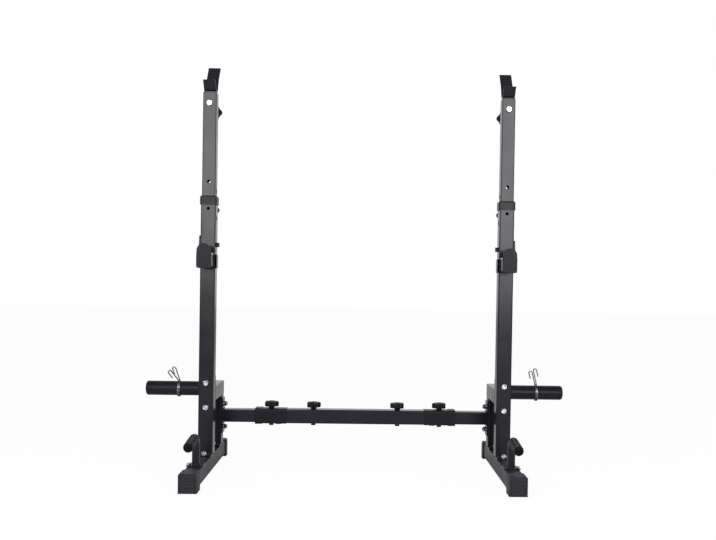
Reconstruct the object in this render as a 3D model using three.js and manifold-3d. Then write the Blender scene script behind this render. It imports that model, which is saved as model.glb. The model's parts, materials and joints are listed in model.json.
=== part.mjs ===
// Squat stand: two towers on long feet, joined by a crossbar that telescopes.
// Each tower has a height tube with a bar cradle, a safety hook on a pin, a braced
// crossbar joint, a plate peg with a wire spring clip, and a push-up handle.
// Millimetres. +X is to the right, +Y to the back, +Z up, and the floor is z = 0.
import * as THREE from 'three';
import { mergeVertices } from 'three/addons/utils/BufferGeometryUtils.js';
import Module from 'manifold-3d';

const wasm = await Module();
wasm.setup();

// Fits and cutters
const seatGap = 0.3;
const slideGap = 0.5;
const boltClearance = 0.5;
const cutOverrun = 3;

// Square steel tube and plate
const frameTube = 50;
const frameWall = 2;
const frameCorner = 4;
const innerTube = frameTube - 2 * frameWall - 2 * slideGap;
const innerWall = 1.5;
const innerCorner = 3;
const plateThickness = 4;
const cornerSteps = 1;
const rodSides = 10;
const boreSides = 8;
const bossSides = 14;

// Fasteners
const boltDiameter = 10;
const boltHeadAcross = 16;
const boltHeadHeight = 6.5;
const nutHeight = 8;
const washerDiameter = 18;
const washerThickness = 2;
const boltTail = 3;
const boltHole = boltDiameter + 2 * boltClearance;
const smallBoltDiameter = 8;
const smallBoltHeadAcross = 13;
const smallBoltHeadHeight = 5.5;
const smallBoltLength = 16;
const smallBoltHole = smallBoltDiameter + 2 * boltClearance;

// Stance
const uprightSpacing = 1004;
const baseLift = 8;
const baseFront = 349;
const baseBack = 312;
const baseTop = baseLift + frameTube;

// Rubber feet over the ends of the base tube
const footWall = 3.2;
const footFaceThickness = 5;
const frontFootLength = 64;
const backFootLength = 42;
const footCorner = 7;
const footRibs = 5;
const footRibDepth = 1.5;
const footBorder = 8;

// Upright
const uprightTop = 925;
const footPlateFront = 36;
const footPlateBack = 10;
const footBoltReach = 45;
const holePitch = 90;
const lockHoleDrop = 39;
const lockHoleHeight = uprightTop - lockHoleDrop;
const sightHoleDiameter = 10;
const lockNutDiameter = 20;
const lockNutLength = 12;

// Moulded collar on the upright's mouth
const collarWall = 3;
const collarHeight = 30;
const collarLip = 3.5;
const collarChamfer = 4;

// Height tube, which stops just above the pin of the safety hook
const heightTubeTop = 1274;
const hookPinHeight = 765;
const hookPinDiameter = 16;
const heightTubeMargin = 7;
const adjustHoleDiameter = 12;
const heightTubeBottom = hookPinHeight + hookPinDiameter / 2 + heightTubeMargin;

// Bar cradle on top: a strip bent up in front and, in two bends, behind
const cradleWidth = 41;
const cradleThickness = 4.5;
const cradleCapThickness = 3;
const cradleFloorDepth = 28;
const frontLipReach = 26;
const frontLipRise = 31.5;
const backLipReach = 20;
const backLipRise = 45;
const backFlareReach = 41;
const backFlareRise = 49;
const cradleBendRadius = 12;
const cradleBendSteps = 4;
const shankLength = 76;
const shankWall = 3;
const cradleBoltDrop = 36;
const cradleKnobDrop = 48;
const cradleKnobReach = 50;

// Clamping knobs
const knobRadius = 26;
const knobHeight = 19;
const knobBevel = 3;
const knobLobes = 5;
const knobLobeDepth = 5;
const pointsPerLobe = 6;
const knobHubRadius = 10;
const knobHubHeight = 6;
const knobPlateRadius = 9;
const knobPlateHeight = 1.5;

// Safety hook: bracket round the upright, stub of tube, lip and pin
const hookPlate = 5.5;
const hookStubWidth = 46;
const hookStubLength = 80;
const hookStubWall = 3;
const hookFloorDrop = 28;
const hookLipRise = 29;
const hookLipDrop = 5;
const hookCheekDepth = 36;
const hookCheekTop = 31;
const hookPinProud = 10;
const hookPinGroove = 1.2;
const hookLipSteps = 8;

// Rear brace: arm from the upright and post down to the base
const braceArmHeight = 260;
const bracePostReach = 200;
const flangeBoltReach = 41;
const flangeBoltRises = [-flangeBoltReach, flangeBoltReach];
const flangeMargin = 22;
const bracePlateFront = 35;
const braceFootBoltReach = 18;
const plugHead = 3;
const plugDepth = 12;

// Plate peg and its cap
const pegDiameter = 48;
const pegWall = 2.5;
const pegLength = 163;
const pegHeight = 280;
const pegSides = 20;
const pegCapRounding = 8;
const pegCapLength = 14;
const pegCapPlug = 10;
const pegCapSteps = 4;

// Spring clip: one wire, wound round the peg, with two hairpin grips
const wireDiameter = 4;
const clipGap = 0.4;
const clipPitch = 4.8;
const clipTurns = 2;
const clipStepsPerTurn = 24;
const wireSides = 6;
const clipGripAngle = 24;
const hairpinWidth = 11;
const hairpinReturn = 28;
const wireBend = 5;
const wireBendSteps = 4;
const nearbyWire = 12;
const rightClip = { place: 88, grips: [{ out: -21, up: 84, fold: -1 }, { out: -4, up: 84, fold: 1 }] };
const leftClip = { place: 68, grips: [{ out: 8, up: 82, fold: 1 }, { out: 36, up: 64, fold: 1 }] };

// Push-up handle on the base tube
const handleReach = 204;
const handlePlate = 54;
const handleHeight = 151.5;
const handleSlope = 5.3;
const handleTube = 25;
const handleWall = 2;
const handleBend = 28;
const handleBendSteps = 5;
const handleSides = 12;
const handleBoltOut = 19;
const handleBoltForward = 18;
const handleFootDepth = 8;
const gripDiameter = 32;
const gripLength = 118;
const gripFlutes = 12;
const gripFluteDepth = 1.3;
const gripRounding = 8;
const gripRoundingSteps = 3;
const gripEndWall = 7;

// Crossbar: centre tube with two knobs a side, and an arm from each tower
const crossbarHeight = 163.5;
const centreTubeHalf = 355;
const outerKnobInset = 53;
const outerKnobPlace = centreTubeHalf - outerKnobInset;
const innerKnobPlace = outerKnobPlace / 2;
const armTravelIn = 55;
const armTravelOut = 65;
const armEndMargin = 26;
const armInnerEnd = innerKnobPlace - armTravelOut - armEndMargin;
const sleeveLength = 112;
const sleeveWall = 1.2;
const sleeveRingLength = 25;
const sleeveRingWall = 3;
const sleeveLip = 3;
const sleeveBossInset = 79;
const sleeveBossPlace = centreTubeHalf - sleeveBossInset;
const sleeveBossRadius = 12;
const sleeveBossHeight = 3.5;

// Colours and finishes
const paint = { color: 0x2b2a30, roughness: 0.45, metalness: 0.3 };
const moulded = { color: 0x18181b, roughness: 0.7, metalness: 0 };
const rubber = { color: 0x141416, roughness: 0.85, metalness: 0 };
const zinc = { color: 0xb9bcc2, roughness: 0.3, metalness: 1 };
const wire = { color: 0xc4c7cc, roughness: 0.2, metalness: 1 };

// Solid helpers

// A closed mesh of three.js as a solid that can be joined and cut.
function solid(geometry) {
  const bare = geometry.clone();
  bare.deleteAttribute('normal');
  bare.deleteAttribute('uv');
  const welded = mergeVertices(bare);
  return new wasm.Manifold(new wasm.Mesh({
    numProp: 3,
    vertProperties: new Float32Array(welded.attributes.position.array),
    triVerts: new Uint32Array(welded.index.array),
  }));
}

function geometryOf(piece) {
  const mesh = piece.getMesh();
  const geometry = new THREE.BufferGeometry();
  geometry.setAttribute('position', new THREE.BufferAttribute(mesh.vertProperties, 3));
  geometry.setIndex(new THREE.BufferAttribute(mesh.triVerts, 1));
  geometry.computeVertexNormals();
  return geometry;
}

// The same geometry seen in a mirror across x = 0, with its faces still outward.
function mirrored(geometry) {
  const copy = geometry.clone().scale(-1, 1, 1);
  const index = copy.index.array;
  for (let corner = 0; corner < index.length; corner += 3) {
    [index[corner], index[corner + 1]] = [index[corner + 1], index[corner]];
  }
  copy.computeVertexNormals();
  return copy;
}

function join(pieces) {
  return pieces.reduce((whole, piece) => whole.add(piece));
}

function cut(body, cutters) {
  return cutters.reduce((rest, cutter) => rest.subtract(cutter), body);
}

// Turns a geometry made along +Z so that it runs along another axis.
const turns = {
  '+x': (geometry) => geometry.rotateY(Math.PI / 2),
  '-x': (geometry) => geometry.rotateY(-Math.PI / 2),
  '+y': (geometry) => geometry.rotateX(-Math.PI / 2),
  '-y': (geometry) => geometry.rotateX(Math.PI / 2),
  '+z': (geometry) => geometry,
  '-z': (geometry) => geometry.rotateX(Math.PI),
};

function along(axis, geometry, x = 0, y = 0, z = 0) {
  return turns[axis](geometry).translate(x, y, z);
}

function roundedOutline(width, height, radius, Outline = THREE.Shape) {
  const outline = new Outline();
  const right = width / 2 - radius;
  const top = height / 2 - radius;
  outline.absarc(right, top, radius, 0, Math.PI / 2);
  outline.absarc(-right, top, radius, Math.PI / 2, Math.PI);
  outline.absarc(-right, -top, radius, Math.PI, 1.5 * Math.PI);
  outline.absarc(right, -top, radius, 1.5 * Math.PI, 2 * Math.PI);
  outline.closePath();
  return outline;
}

function extruded(outline, depth, curveSegments = cornerSteps) {
  return new THREE.ExtrudeGeometry(outline, { depth, bevelEnabled: false, curveSegments });
}

function roundedBar(width, height, radius, length) {
  return extruded(roundedOutline(width, height, radius), length);
}

function boxTube(width, wall, corner, length) {
  const outline = roundedOutline(width, width, corner);
  const hollow = width - 2 * wall;
  const hollowCorner = Math.max(corner - wall, corner / 4);
  outline.holes.push(roundedOutline(hollow, hollow, hollowCorner, THREE.Path));
  return extruded(outline, length);
}

function roundTube(diameter, wall, sides, length) {
  const ring = (radius, Outline) => {
    const corners = [];
    for (let i = 0; i < sides; i += 1) {
      const angle = 2 * Math.PI * i / sides;
      corners.push(new THREE.Vector2(radius * Math.cos(angle), radius * Math.sin(angle)));
    }
    return new Outline(corners);
  };
  const outline = ring(diameter / 2, THREE.Shape);
  outline.holes.push(ring(diameter / 2 - wall, THREE.Path));
  return extruded(outline, length);
}

function block(width, depth, height) {
  return new THREE.BoxGeometry(width, depth, height);
}

// A round bar that starts at the origin and runs up +Z.
function rod(radius, length, sides = rodSides) {
  const bar = new THREE.CylinderGeometry(radius, radius, length, sides);
  return bar.rotateX(Math.PI / 2).translate(0, 0, length / 2);
}

function hexPrism(acrossFlats, height) {
  return rod(acrossFlats / Math.sqrt(3), height, 6);
}

// A cutter whose flats lie on the circle, so that a round bar of that radius clears it.
function bit(radius, length, sides = boreSides) {
  return rod(radius / Math.cos(Math.PI / sides), length, sides);
}

// A drill for a hole along an axis, which overruns at both ends.
function drill(axis, diameter, depth, x, y, z) {
  const cutter = bit(diameter / 2, depth + 2 * cutOverrun).translate(0, 0, -cutOverrun);
  return solid(along(axis, cutter, x, y, z));
}

// Points of a path with its inner corners rounded by arcs of the given radius.
function roundedPath(corners, radius, steps) {
  const path = [corners[0]];
  for (let i = 1; i < corners.length - 1; i += 1) {
    const back = corners[i - 1].clone().sub(corners[i]);
    const ahead = corners[i + 1].clone().sub(corners[i]);
    const halfTurn = back.angleTo(ahead) / 2;
    const room = Math.min(back.length(), ahead.length()) / 2;
    const setback = Math.min(radius / Math.tan(halfTurn), room);
    const bend = setback * Math.tan(halfTurn);
    const middle = back.clone().normalize().add(ahead.clone().normalize()).normalize();
    const centre = corners[i].clone().addScaledVector(middle, bend / Math.sin(halfTurn));
    const from = corners[i].clone().addScaledVector(back.normalize(), setback).sub(centre);
    const to = corners[i].clone().addScaledVector(ahead.normalize(), setback).sub(centre);
    const axis = from.clone().cross(to).normalize();
    const sweep = from.angleTo(to);
    for (let step = 0; step <= steps; step += 1) {
      path.push(from.clone().applyAxisAngle(axis, sweep * step / steps).add(centre));
    }
  }
  path.push(corners[corners.length - 1]);
  return path;
}

// A skin over rings of equal count, counter-clockwise seen from the last, with flat ends.
function loft(rings) {
  const count = rings[0].length;
  const middle = (ring) => {
    const sum = ring.reduce((total, corner) => total.add(corner), new THREE.Vector3());
    return sum.divideScalar(count);
  };
  const last = (rings.length - 1) * count;
  const startHub = rings.length * count;
  const positions = rings.flat().flatMap((corner) => corner.toArray());
  positions.push(...middle(rings[0]).toArray(), ...middle(rings[rings.length - 1]).toArray());
  const faces = [];
  for (let k = 0; k < count; k += 1) {
    const next = (k + 1) % count;
    for (let base = 0; base < last; base += count) {
      faces.push(base + k, base + next, base + next + count);
      faces.push(base + k, base + next + count, base + k + count);
    }
    faces.push(startHub, next, k, startHub + 1, last + k, last + next);
  }
  const geometry = new THREE.BufferGeometry();
  geometry.setAttribute('position', new THREE.Float32BufferAttribute(positions, 3));
  geometry.setIndex(faces);
  return geometry;
}

// A round tube or wire carried along points without twist, closed at both ends.
function sweptRound(points, radius, sides) {
  const heading = (i) => {
    const before = points[Math.max(i - 1, 0)];
    const after = points[Math.min(i + 1, points.length - 1)];
    return after.clone().sub(before).normalize();
  };
  let direction = heading(0);
  const seed = new THREE.Vector3(1, 0, 0);
  if (Math.abs(direction.x) > Math.abs(direction.y)) seed.set(0, 1, 0);
  const normal = seed.addScaledVector(direction, -seed.dot(direction)).normalize();
  return loft(points.map((point, i) => {
    const next = heading(i);
    normal.applyQuaternion(new THREE.Quaternion().setFromUnitVectors(direction, next));
    direction = next;
    const side = direction.clone().cross(normal);
    const ring = [];
    for (let k = 0; k < sides; k += 1) {
      const angle = 2 * Math.PI * k / sides;
      const corner = point.clone().addScaledVector(normal, radius * Math.cos(angle));
      ring.push(corner.addScaledVector(side, radius * Math.sin(angle)));
    }
    return ring;
  }));
}

// A strip of even thickness that follows a centre line in its own plane.
function stripOutline(line, thickness) {
  const half = thickness / 2;
  const leftSide = [];
  const rightSide = [];
  line.forEach((point, i) => {
    const ahead = i + 1 < line.length ? line[i + 1].clone().sub(point).normalize() : null;
    const behind = i > 0 ? point.clone().sub(line[i - 1]).normalize() : ahead;
    const mean = behind.clone().add(ahead ?? behind).normalize();
    const across = new THREE.Vector2(-mean.y, mean.x);
    const mitre = half / mean.dot(behind);
    leftSide.push(point.clone().addScaledVector(across, mitre));
    rightSide.push(point.clone().addScaledVector(across, -mitre));
  });
  return new THREE.Shape(leftSide.concat(rightSide.reverse()));
}

// Fasteners, each along +Z with the underside of its head at z = 0

const tubeAndPlate = frameTube + plateThickness + 3 * seatGap;

function boltHead(across, height, diameter, length) {
  const head = solid(hexPrism(across, height).translate(0, 0, -height));
  return head.add(solid(rod(diameter / 2, length, boreSides)));
}

function washerAndNut(place) {
  const washer = solid(rod(washerDiameter / 2, washerThickness).translate(0, 0, place));
  const nut = solid(hexPrism(boltHeadAcross, nutHeight).translate(0, 0, place + washerThickness));
  return washer.add(nut);
}

// A bolt through a stack of the given thickness, with washers, nut and tail.
function throughBolt(grip) {
  const headWasher = solid(rod(washerDiameter / 2, washerThickness).translate(0, 0, -washerThickness));
  const length = grip + washerThickness + nutHeight + boltTail;
  const bolt = boltHead(boltHeadAcross, boltHeadHeight, boltDiameter, length + washerThickness)
    .translate([0, 0, -washerThickness]);
  return join([bolt, headWasher, washerAndNut(grip)]);
}

// A lobed knob along +Z, with its hub's foot at z = 0 and a lobe towards -X.
function knobBody() {
  const outline = new THREE.Shape();
  const points = pointsPerLobe * knobLobes;
  for (let i = 0; i < points; i += 1) {
    const angle = 2 * Math.PI * i / points;
    const ripple = (1 + Math.cos(knobLobes * angle)) / 2;
    const radius = knobRadius - knobBevel - knobLobeDepth * ripple;
    const corner = [radius * Math.cos(angle), radius * Math.sin(angle)];
    if (i === 0) outline.moveTo(...corner);
    else outline.lineTo(...corner);
  }
  const head = new THREE.ExtrudeGeometry(outline, {
    depth: knobHeight - 2 * knobBevel,
    bevelThickness: knobBevel,
    bevelSize: knobBevel,
    bevelSegments: 1,
  }).translate(0, 0, knobHubHeight + knobBevel);
  const hub = rod(knobHubRadius, knobHubHeight + knobBevel, bossSides);
  const plate = rod(knobPlateRadius, knobPlateHeight + knobBevel)
    .translate(0, 0, knobHubHeight + knobHeight - knobBevel);
  return join([solid(head), solid(hub), solid(plate)]);
}

// A knob with its own screw, which reaches the given length below the hub's foot.
function screwKnob(screwLength) {
  const screw = rod(boltDiameter / 2, screwLength + knobBevel, boreSides).translate(0, 0, -screwLength);
  return knobBody().add(solid(screw));
}

// Tower pieces. Tower coordinates: x away from the crossbar, y to the back,
// with the upright's axis at x = 0, y = 0.

const footWidth = frameTube + 2 * footWall + 2 * seatGap;
const footHeight = baseTop + footWall + seatGap;
const braceFootBolt = bracePostReach - frameTube / 2 - braceFootBoltReach;
const handleBoltPlace = -handleReach - handleBoltForward;

function baseTube() {
  const length = baseFront + baseBack;
  const middle = baseLift + frameTube / 2;
  const tube = along('+y', boxTube(frameTube, frameWall, frameCorner, length), 0, -baseFront, middle);
  const roof = baseTop - frameWall;
  const holes = [-footBoltReach, braceFootBolt].map((y) => drill('+z', boltHole, frameTube, 0, y, baseLift));
  const handleHole = drill('+z', handleTube + 2 * seatGap, frameWall, 0, -handleReach, roof);
  const handleBoltHole = drill('+z', smallBoltHole, frameWall, handleBoltOut, handleBoltPlace, roof);
  return cut(solid(tube), [...holes, handleHole, handleBoltHole]);
}

// A shoe over one end of the base tube, with its closed face towards -Y at y = 0.
function shoe(length) {
  const flare = footWall / 2;
  const outer = roundedBar(footWidth, footHeight, footCorner, length).translate(0, footHeight / 2, 0);
  const body = solid(along('-y', outer, 0, length, 0));
  const sole = solid(block(footWidth + flare, length, footWall).translate(0, length / 2, footWall / 2));
  const pocketWidth = frameTube + 2 * seatGap;
  const pocket = roundedBar(pocketWidth, pocketWidth, frameCorner, length + cutOverrun);
  const pocketSolid = solid(along('+y', pocket, 0, footFaceThickness, baseLift + frameTube / 2));
  return body.add(sole).subtract(pocketSolid);
}

// Horizontal ribs inside a raised border on the face of the front shoe.
function frontFoot() {
  const panelWidth = footWidth - 2 * footBorder;
  const panelHeight = footHeight - 2 * footBorder;
  const ribPitch = panelHeight / (2 * footRibs - 1);
  const grooves = [];
  for (let i = 0; i < footRibs - 1; i += 1) {
    const groove = block(panelWidth, 2 * footRibDepth, ribPitch);
    grooves.push(solid(groove.translate(0, 0, footBorder + ribPitch * (2 * i + 1) + ribPitch / 2)));
  }
  return cut(shoe(frontFootLength), grooves);
}

function backFoot() {
  const plain = shoe(backFootLength);
  return plain.rotate([0, 0, 180]);
}

// Weldment of the upright, its foot plate, the nut of the height lock and the plate peg.
function upright() {
  const tubeBottom = baseTop + seatGap;
  const half = frameTube / 2;
  const tube = boxTube(frameTube, frameWall, frameCorner, uprightTop - tubeBottom)
    .translate(0, 0, tubeBottom);
  const plateLength = frameTube + footPlateFront + footPlateBack;
  const footPlate = roundedBar(frameTube, plateLength, frameCorner, plateThickness)
    .translate(0, (footPlateBack - footPlateFront) / 2, tubeBottom);
  const bore = frameTube - 2 * frameWall;
  const plateBore = roundedBar(bore, bore, frameCorner - frameWall, plateThickness + cutOverrun)
    .translate(0, 0, tubeBottom - cutOverrun);
  const lockNut = rod(lockNutDiameter / 2, lockNutLength + frameWall, bossSides);
  const peg = along('+x', roundTube(pegDiameter, pegWall, pegSides, pegLength), half, 0, pegHeight);
  const sideHole = hookPinDiameter + 2 * seatGap;
  const holes = [
    drill('-y', sightHoleDiameter, frameWall, 0, -half + frameWall, lockHoleHeight),
    drill('+y', boltHole, lockNutLength + frameWall, 0, half - frameWall, lockHoleHeight),
    drill('+x', sideHole, frameTube, -half, 0, hookPinHeight),
    drill('+x', sideHole, frameTube, -half, 0, hookPinHeight + holePitch),
    ...flangeBoltRises.map((rise) => drill('+y', boltHole, frameTube, 0, -half, braceArmHeight + rise)),
    drill('+z', boltHole, plateThickness, 0, -footBoltReach, tubeBottom),
  ];
  const weldment = join([
    solid(tube),
    solid(footPlate),
    solid(along('+y', lockNut, 0, half - frameWall, lockHoleHeight)),
    solid(peg),
  ]);
  return cut(weldment, [solid(plateBore), ...holes]);
}

// Collar with a skirt outside the upright and a lip that guides the height tube.
function uprightCollar() {
  const outerWidth = frameTube + 2 * seatGap + 2 * collarWall;
  const collarTop = uprightTop + seatGap + collarLip;
  const bottom = collarTop - collarHeight;
  const topWidth = outerWidth - 2 * collarChamfer;
  const outer = new THREE.ExtrudeGeometry(roundedOutline(topWidth, topWidth, frameCorner), {
    depth: collarHeight - collarChamfer,
    bevelThickness: collarChamfer,
    bevelSize: collarChamfer,
    bevelSegments: 1,
    curveSegments: cornerSteps,
  }).translate(0, 0, bottom);
  const belowSkirt = block(2 * outerWidth, 2 * outerWidth, 2 * collarChamfer);
  const skirtEnd = solid(belowSkirt.translate(0, 0, bottom - collarChamfer));
  const skirtHollow = frameTube + 2 * seatGap;
  const skirtDepth = collarHeight - collarLip + cutOverrun;
  const skirtBar = roundedBar(skirtHollow, skirtHollow, frameCorner, skirtDepth);
  const skirt = solid(skirtBar.translate(0, 0, bottom - cutOverrun));
  const mouthWidth = innerTube + 2 * slideGap;
  const mouthBar = roundedBar(mouthWidth, mouthWidth, innerCorner, collarHeight + 2 * cutOverrun);
  const mouth = solid(mouthBar.translate(0, 0, bottom));
  return cut(solid(outer), [skirtEnd, skirt, mouth]);
}

function heightTube() {
  const length = heightTubeTop - heightTubeBottom;
  const tube = boxTube(innerTube, innerWall, innerCorner, length).translate(0, 0, heightTubeBottom);
  const half = innerTube / 2;
  const lockHoles = [-1, 0, 1].map((step) => drill(
    '+y', adjustHoleDiameter, innerTube, 0, -half, lockHoleHeight + step * holePitch));
  const sideHoles = [1, 2].map((step) => drill(
    '+x', hookPinDiameter + 2 * seatGap, innerTube, -half, 0, hookPinHeight + step * holePitch));
  const frontHole = drill('-y', boltHole, innerWall, 0, -half + innerWall, heightTubeTop - cradleBoltDrop);
  const backHole = drill('+y', boltHole, innerWall, 0, half - innerWall, heightTubeTop - cradleKnobDrop);
  return cut(solid(tube), [...lockHoles, ...sideHoles, frontHole, backHole]);
}

// Bent strip on a cap plate, with a square shank that drops into the height tube.
function barCradle() {
  const seat = heightTubeTop + seatGap;
  const floor = seat + cradleCapThickness + cradleThickness / 2;
  const front = -cradleFloorDepth / 2;
  const back = cradleFloorDepth / 2;
  const corners = [
    [front - frontLipReach, floor + frontLipRise],
    [front, floor],
    [back, floor],
    [back + backLipReach, floor + backLipRise],
    [back + backLipReach + backFlareReach, floor + backLipRise + backFlareRise],
  ].map(([y, z]) => new THREE.Vector3(y, z, 0));
  const line = roundedPath(corners, cradleBendRadius, cradleBendSteps)
    .map((point) => new THREE.Vector2(point.x, point.y));
  const strip = extruded(stripOutline(line, cradleThickness), cradleWidth);
  strip.rotateX(Math.PI / 2).rotateZ(Math.PI / 2).translate(-cradleWidth / 2, 0, 0);
  const cap = roundedBar(cradleWidth, innerTube, innerCorner, cradleCapThickness + cradleThickness / 2)
    .translate(0, 0, seat);
  const shankWidth = innerTube - 2 * innerWall - 2 * seatGap;
  const shank = boxTube(shankWidth, shankWall, innerCorner - innerWall, shankLength + seatGap)
    .translate(0, 0, heightTubeTop - shankLength);
  const half = shankWidth / 2;
  const frontHole = drill('-y', boltHole, shankWall, 0, -half + shankWall, heightTubeTop - cradleBoltDrop);
  const backHole = drill('+y', boltHole, shankWall, 0, half - shankWall, heightTubeTop - cradleKnobDrop);
  return cut(join([solid(strip), solid(cap), solid(shank)]), [frontHole, backHole]);
}

function cradleBolt() {
  const length = innerWall + shankWall + washerThickness + 2 * seatGap + boltTail;
  const washer = solid(rod(washerDiameter / 2, washerThickness));
  const bolt = boltHead(boltHeadAcross, boltHeadHeight, boltDiameter, length);
  const geometry = geometryOf(bolt.add(washer));
  const face = -innerTube / 2 - seatGap - washerThickness;
  return solid(along('+y', geometry, 0, face, heightTubeTop - cradleBoltDrop));
}

function cradleKnob() {
  const screw = cradleKnobReach + innerWall + shankWall;
  const knob = geometryOf(screwKnob(screw - seatGap));
  return solid(along('+y', knob, 0, innerTube / 2 + cradleKnobReach, heightTubeTop - cradleKnobDrop));
}

function heightKnob() {
  const hubFoot = frameTube / 2 + lockNutLength + seatGap;
  const knob = geometryOf(screwKnob(hubFoot - frameTube / 2 + frameWall));
  return solid(along('+y', knob, 0, hubFoot, lockHoleHeight));
}

// Bracket, stub tube and lip of the safety hook, with the pin's hole in its cheek.
function safetyHook() {
  const inside = frameTube / 2 + seatGap;
  const floor = hookPinHeight - hookFloorDrop;
  const bottom = floor - hookStubWidth - hookLipDrop;
  const webTop = floor - hookLipDrop;
  const webHeight = webTop - bottom;
  const span = 2 * inside + 2 * hookPlate;
  const web = block(span, hookPlate, webHeight)
    .translate(0, -inside - hookPlate / 2, bottom + webHeight / 2);
  const cheekFront = -inside - hookPlate;
  const cheekMiddle = cheekFront + hookCheekDepth / 2;
  const innerCheek = block(hookPlate, hookCheekDepth, webHeight)
    .translate(-inside - hookPlate / 2, cheekMiddle, bottom + webHeight / 2);
  const outerCheek = new THREE.Shape();
  const cheekTop = hookPinHeight + hookCheekTop;
  const noseRadius = hookPinDiameter;
  outerCheek.moveTo(cheekFront, bottom);
  outerCheek.lineTo(cheekFront + hookCheekDepth, bottom);
  outerCheek.lineTo(noseRadius, hookPinHeight);
  outerCheek.lineTo(noseRadius, cheekTop - noseRadius / 2);
  outerCheek.lineTo(noseRadius / 2, cheekTop);
  outerCheek.lineTo(-noseRadius / 2, cheekTop);
  outerCheek.lineTo(-noseRadius, cheekTop - noseRadius / 2);
  outerCheek.lineTo(cheekFront, webTop);
  outerCheek.closePath();
  const cheekPlate = extruded(outerCheek, hookPlate);
  cheekPlate.rotateX(Math.PI / 2).rotateZ(Math.PI / 2).translate(inside, 0, 0);
  const stubTube = boxTube(hookStubWidth, hookStubWall, innerCorner, hookStubLength);
  const stub = along('-y', stubTube, 0, -inside, floor - hookStubWidth / 2);
  const lip = new THREE.Shape();
  const lipHalf = hookStubWidth / 2;
  const arcCentre = floor + hookLipRise - lipHalf;
  lip.moveTo(-lipHalf, bottom);
  lip.lineTo(lipHalf, bottom);
  lip.absarc(0, arcCentre, lipHalf, 0, Math.PI);
  lip.closePath();
  const lipPlate = extruded(lip, hookPlate, hookLipSteps);
  const lipBack = -inside - hookStubLength - hookPlate + seatGap;
  lipPlate.rotateX(Math.PI / 2).translate(0, lipBack + hookPlate, 0);
  const pinHole = drill('+x', hookPinDiameter + 2 * seatGap, hookPlate, inside, 0, hookPinHeight);
  const plates = [web, innerCheek, cheekPlate, stub, lipPlate].map(solid);
  return join(plates).subtract(pinHole);
}

function hookPin() {
  const outer = frameTube / 2 + seatGap + hookPlate;
  const inner = frameTube / 2 + hookPinProud;
  const radius = hookPinDiameter / 2;
  const tip = inner - hookPinProud / 2;
  const profile = [
    [0, -inner],
    [radius - hookPinGroove, -inner],
    [radius, -inner + hookPinGroove],
    [radius, -tip - hookPinGroove],
    [radius - hookPinGroove, -tip],
    [radius, -tip + hookPinGroove],
    [radius, outer],
    [0, outer],
  ].map(([r, place]) => new THREE.Vector2(r, place));
  const pin = new THREE.LatheGeometry(profile, bossSides).rotateZ(-Math.PI / 2);
  return solid(pin.translate(0, 0, hookPinHeight));
}

// Arm and post in one weldment, with the flange to the upright and the foot plate.
function rearBrace() {
  const back = frameTube / 2 + seatGap;
  const armEnd = bracePostReach + frameTube / 2;
  const armTube = boxTube(frameTube, frameWall, frameCorner, armEnd - back);
  const arm = along('+y', armTube, 0, back, braceArmHeight);
  const flangeHeight = 2 * flangeBoltReach + 2 * flangeMargin;
  const flange = block(frameTube, plateThickness, flangeHeight)
    .translate(0, back + plateThickness / 2, braceArmHeight);
  const postBottom = baseTop + seatGap;
  const postTop = braceArmHeight - frameTube / 2 + frameWall;
  const post = boxTube(frameTube, frameWall, frameCorner, postTop - postBottom)
    .translate(0, bracePostReach, postBottom);
  const footFront = bracePostReach - frameTube / 2 - bracePlateFront;
  const footPlate = block(frameTube, armEnd - footFront, plateThickness)
    .translate(0, (armEnd + footFront) / 2, postBottom + plateThickness / 2);
  const half = frameTube / 2;
  const armHollow = frameTube - 2 * frameWall;
  const mouth = roundedBar(armHollow, armHollow, frameCorner - frameWall, plateThickness + 2 * cutOverrun);
  const holes = [
    solid(along('+y', mouth, 0, back - cutOverrun, braceArmHeight)),
    ...flangeBoltRises.map((rise) => drill('+y', boltHole, plateThickness, 0, back, braceArmHeight + rise)),
    ...flangeBoltRises.map((rise) => drill(
      '+x', boltHole, frameTube, -half, bracePostReach, crossbarHeight + rise)),
    drill('+z', boltHole, plateThickness, 0, braceFootBolt, postBottom),
  ];
  return cut(join([solid(arm), solid(flange), solid(post), solid(footPlate)]), holes);
}

// Plastic plug in the open back end of the brace's arm.
function bracePlug() {
  const face = bracePostReach + frameTube / 2 + seatGap;
  const head = along('+y', roundedBar(frameTube, frameTube, frameCorner, plugHead), 0, face, braceArmHeight);
  const inside = frameTube - 2 * frameWall - 2 * seatGap;
  const stemBar = roundedBar(inside, inside, frameCorner - frameWall, plugDepth + seatGap);
  const stem = along('-y', stemBar, 0, face + seatGap, braceArmHeight);
  return solid(head).add(solid(stem));
}

// Bolt through the upright and the flange behind it.
function braceBolt(rise) {
  const bolt = geometryOf(throughBolt(tubeAndPlate));
  return solid(along('+y', bolt, 0, -frameTube / 2 - seatGap, braceArmHeight + rise));
}

// Bolt through the brace's post and the flange of the crossbar's arm.
function flangeBolt(rise) {
  const bolt = geometryOf(throughBolt(tubeAndPlate));
  return solid(along('-x', bolt, frameTube / 2 + seatGap, bracePostReach, crossbarHeight + rise));
}

// Flat-headed bolt up through the base tube, with its nut on top of a foot plate.
function footBolt(place) {
  const headDepth = baseLift / 2;
  const length = tubeAndPlate + washerThickness + nutHeight + boltTail;
  const head = solid(rod(washerDiameter / 2, headDepth).translate(0, 0, -headDepth));
  const shank = solid(rod(boltDiameter / 2, length, boreSides));
  return join([head, shank, washerAndNut(tubeAndPlate)]).translate([0, place, baseLift - seatGap]);
}

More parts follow.
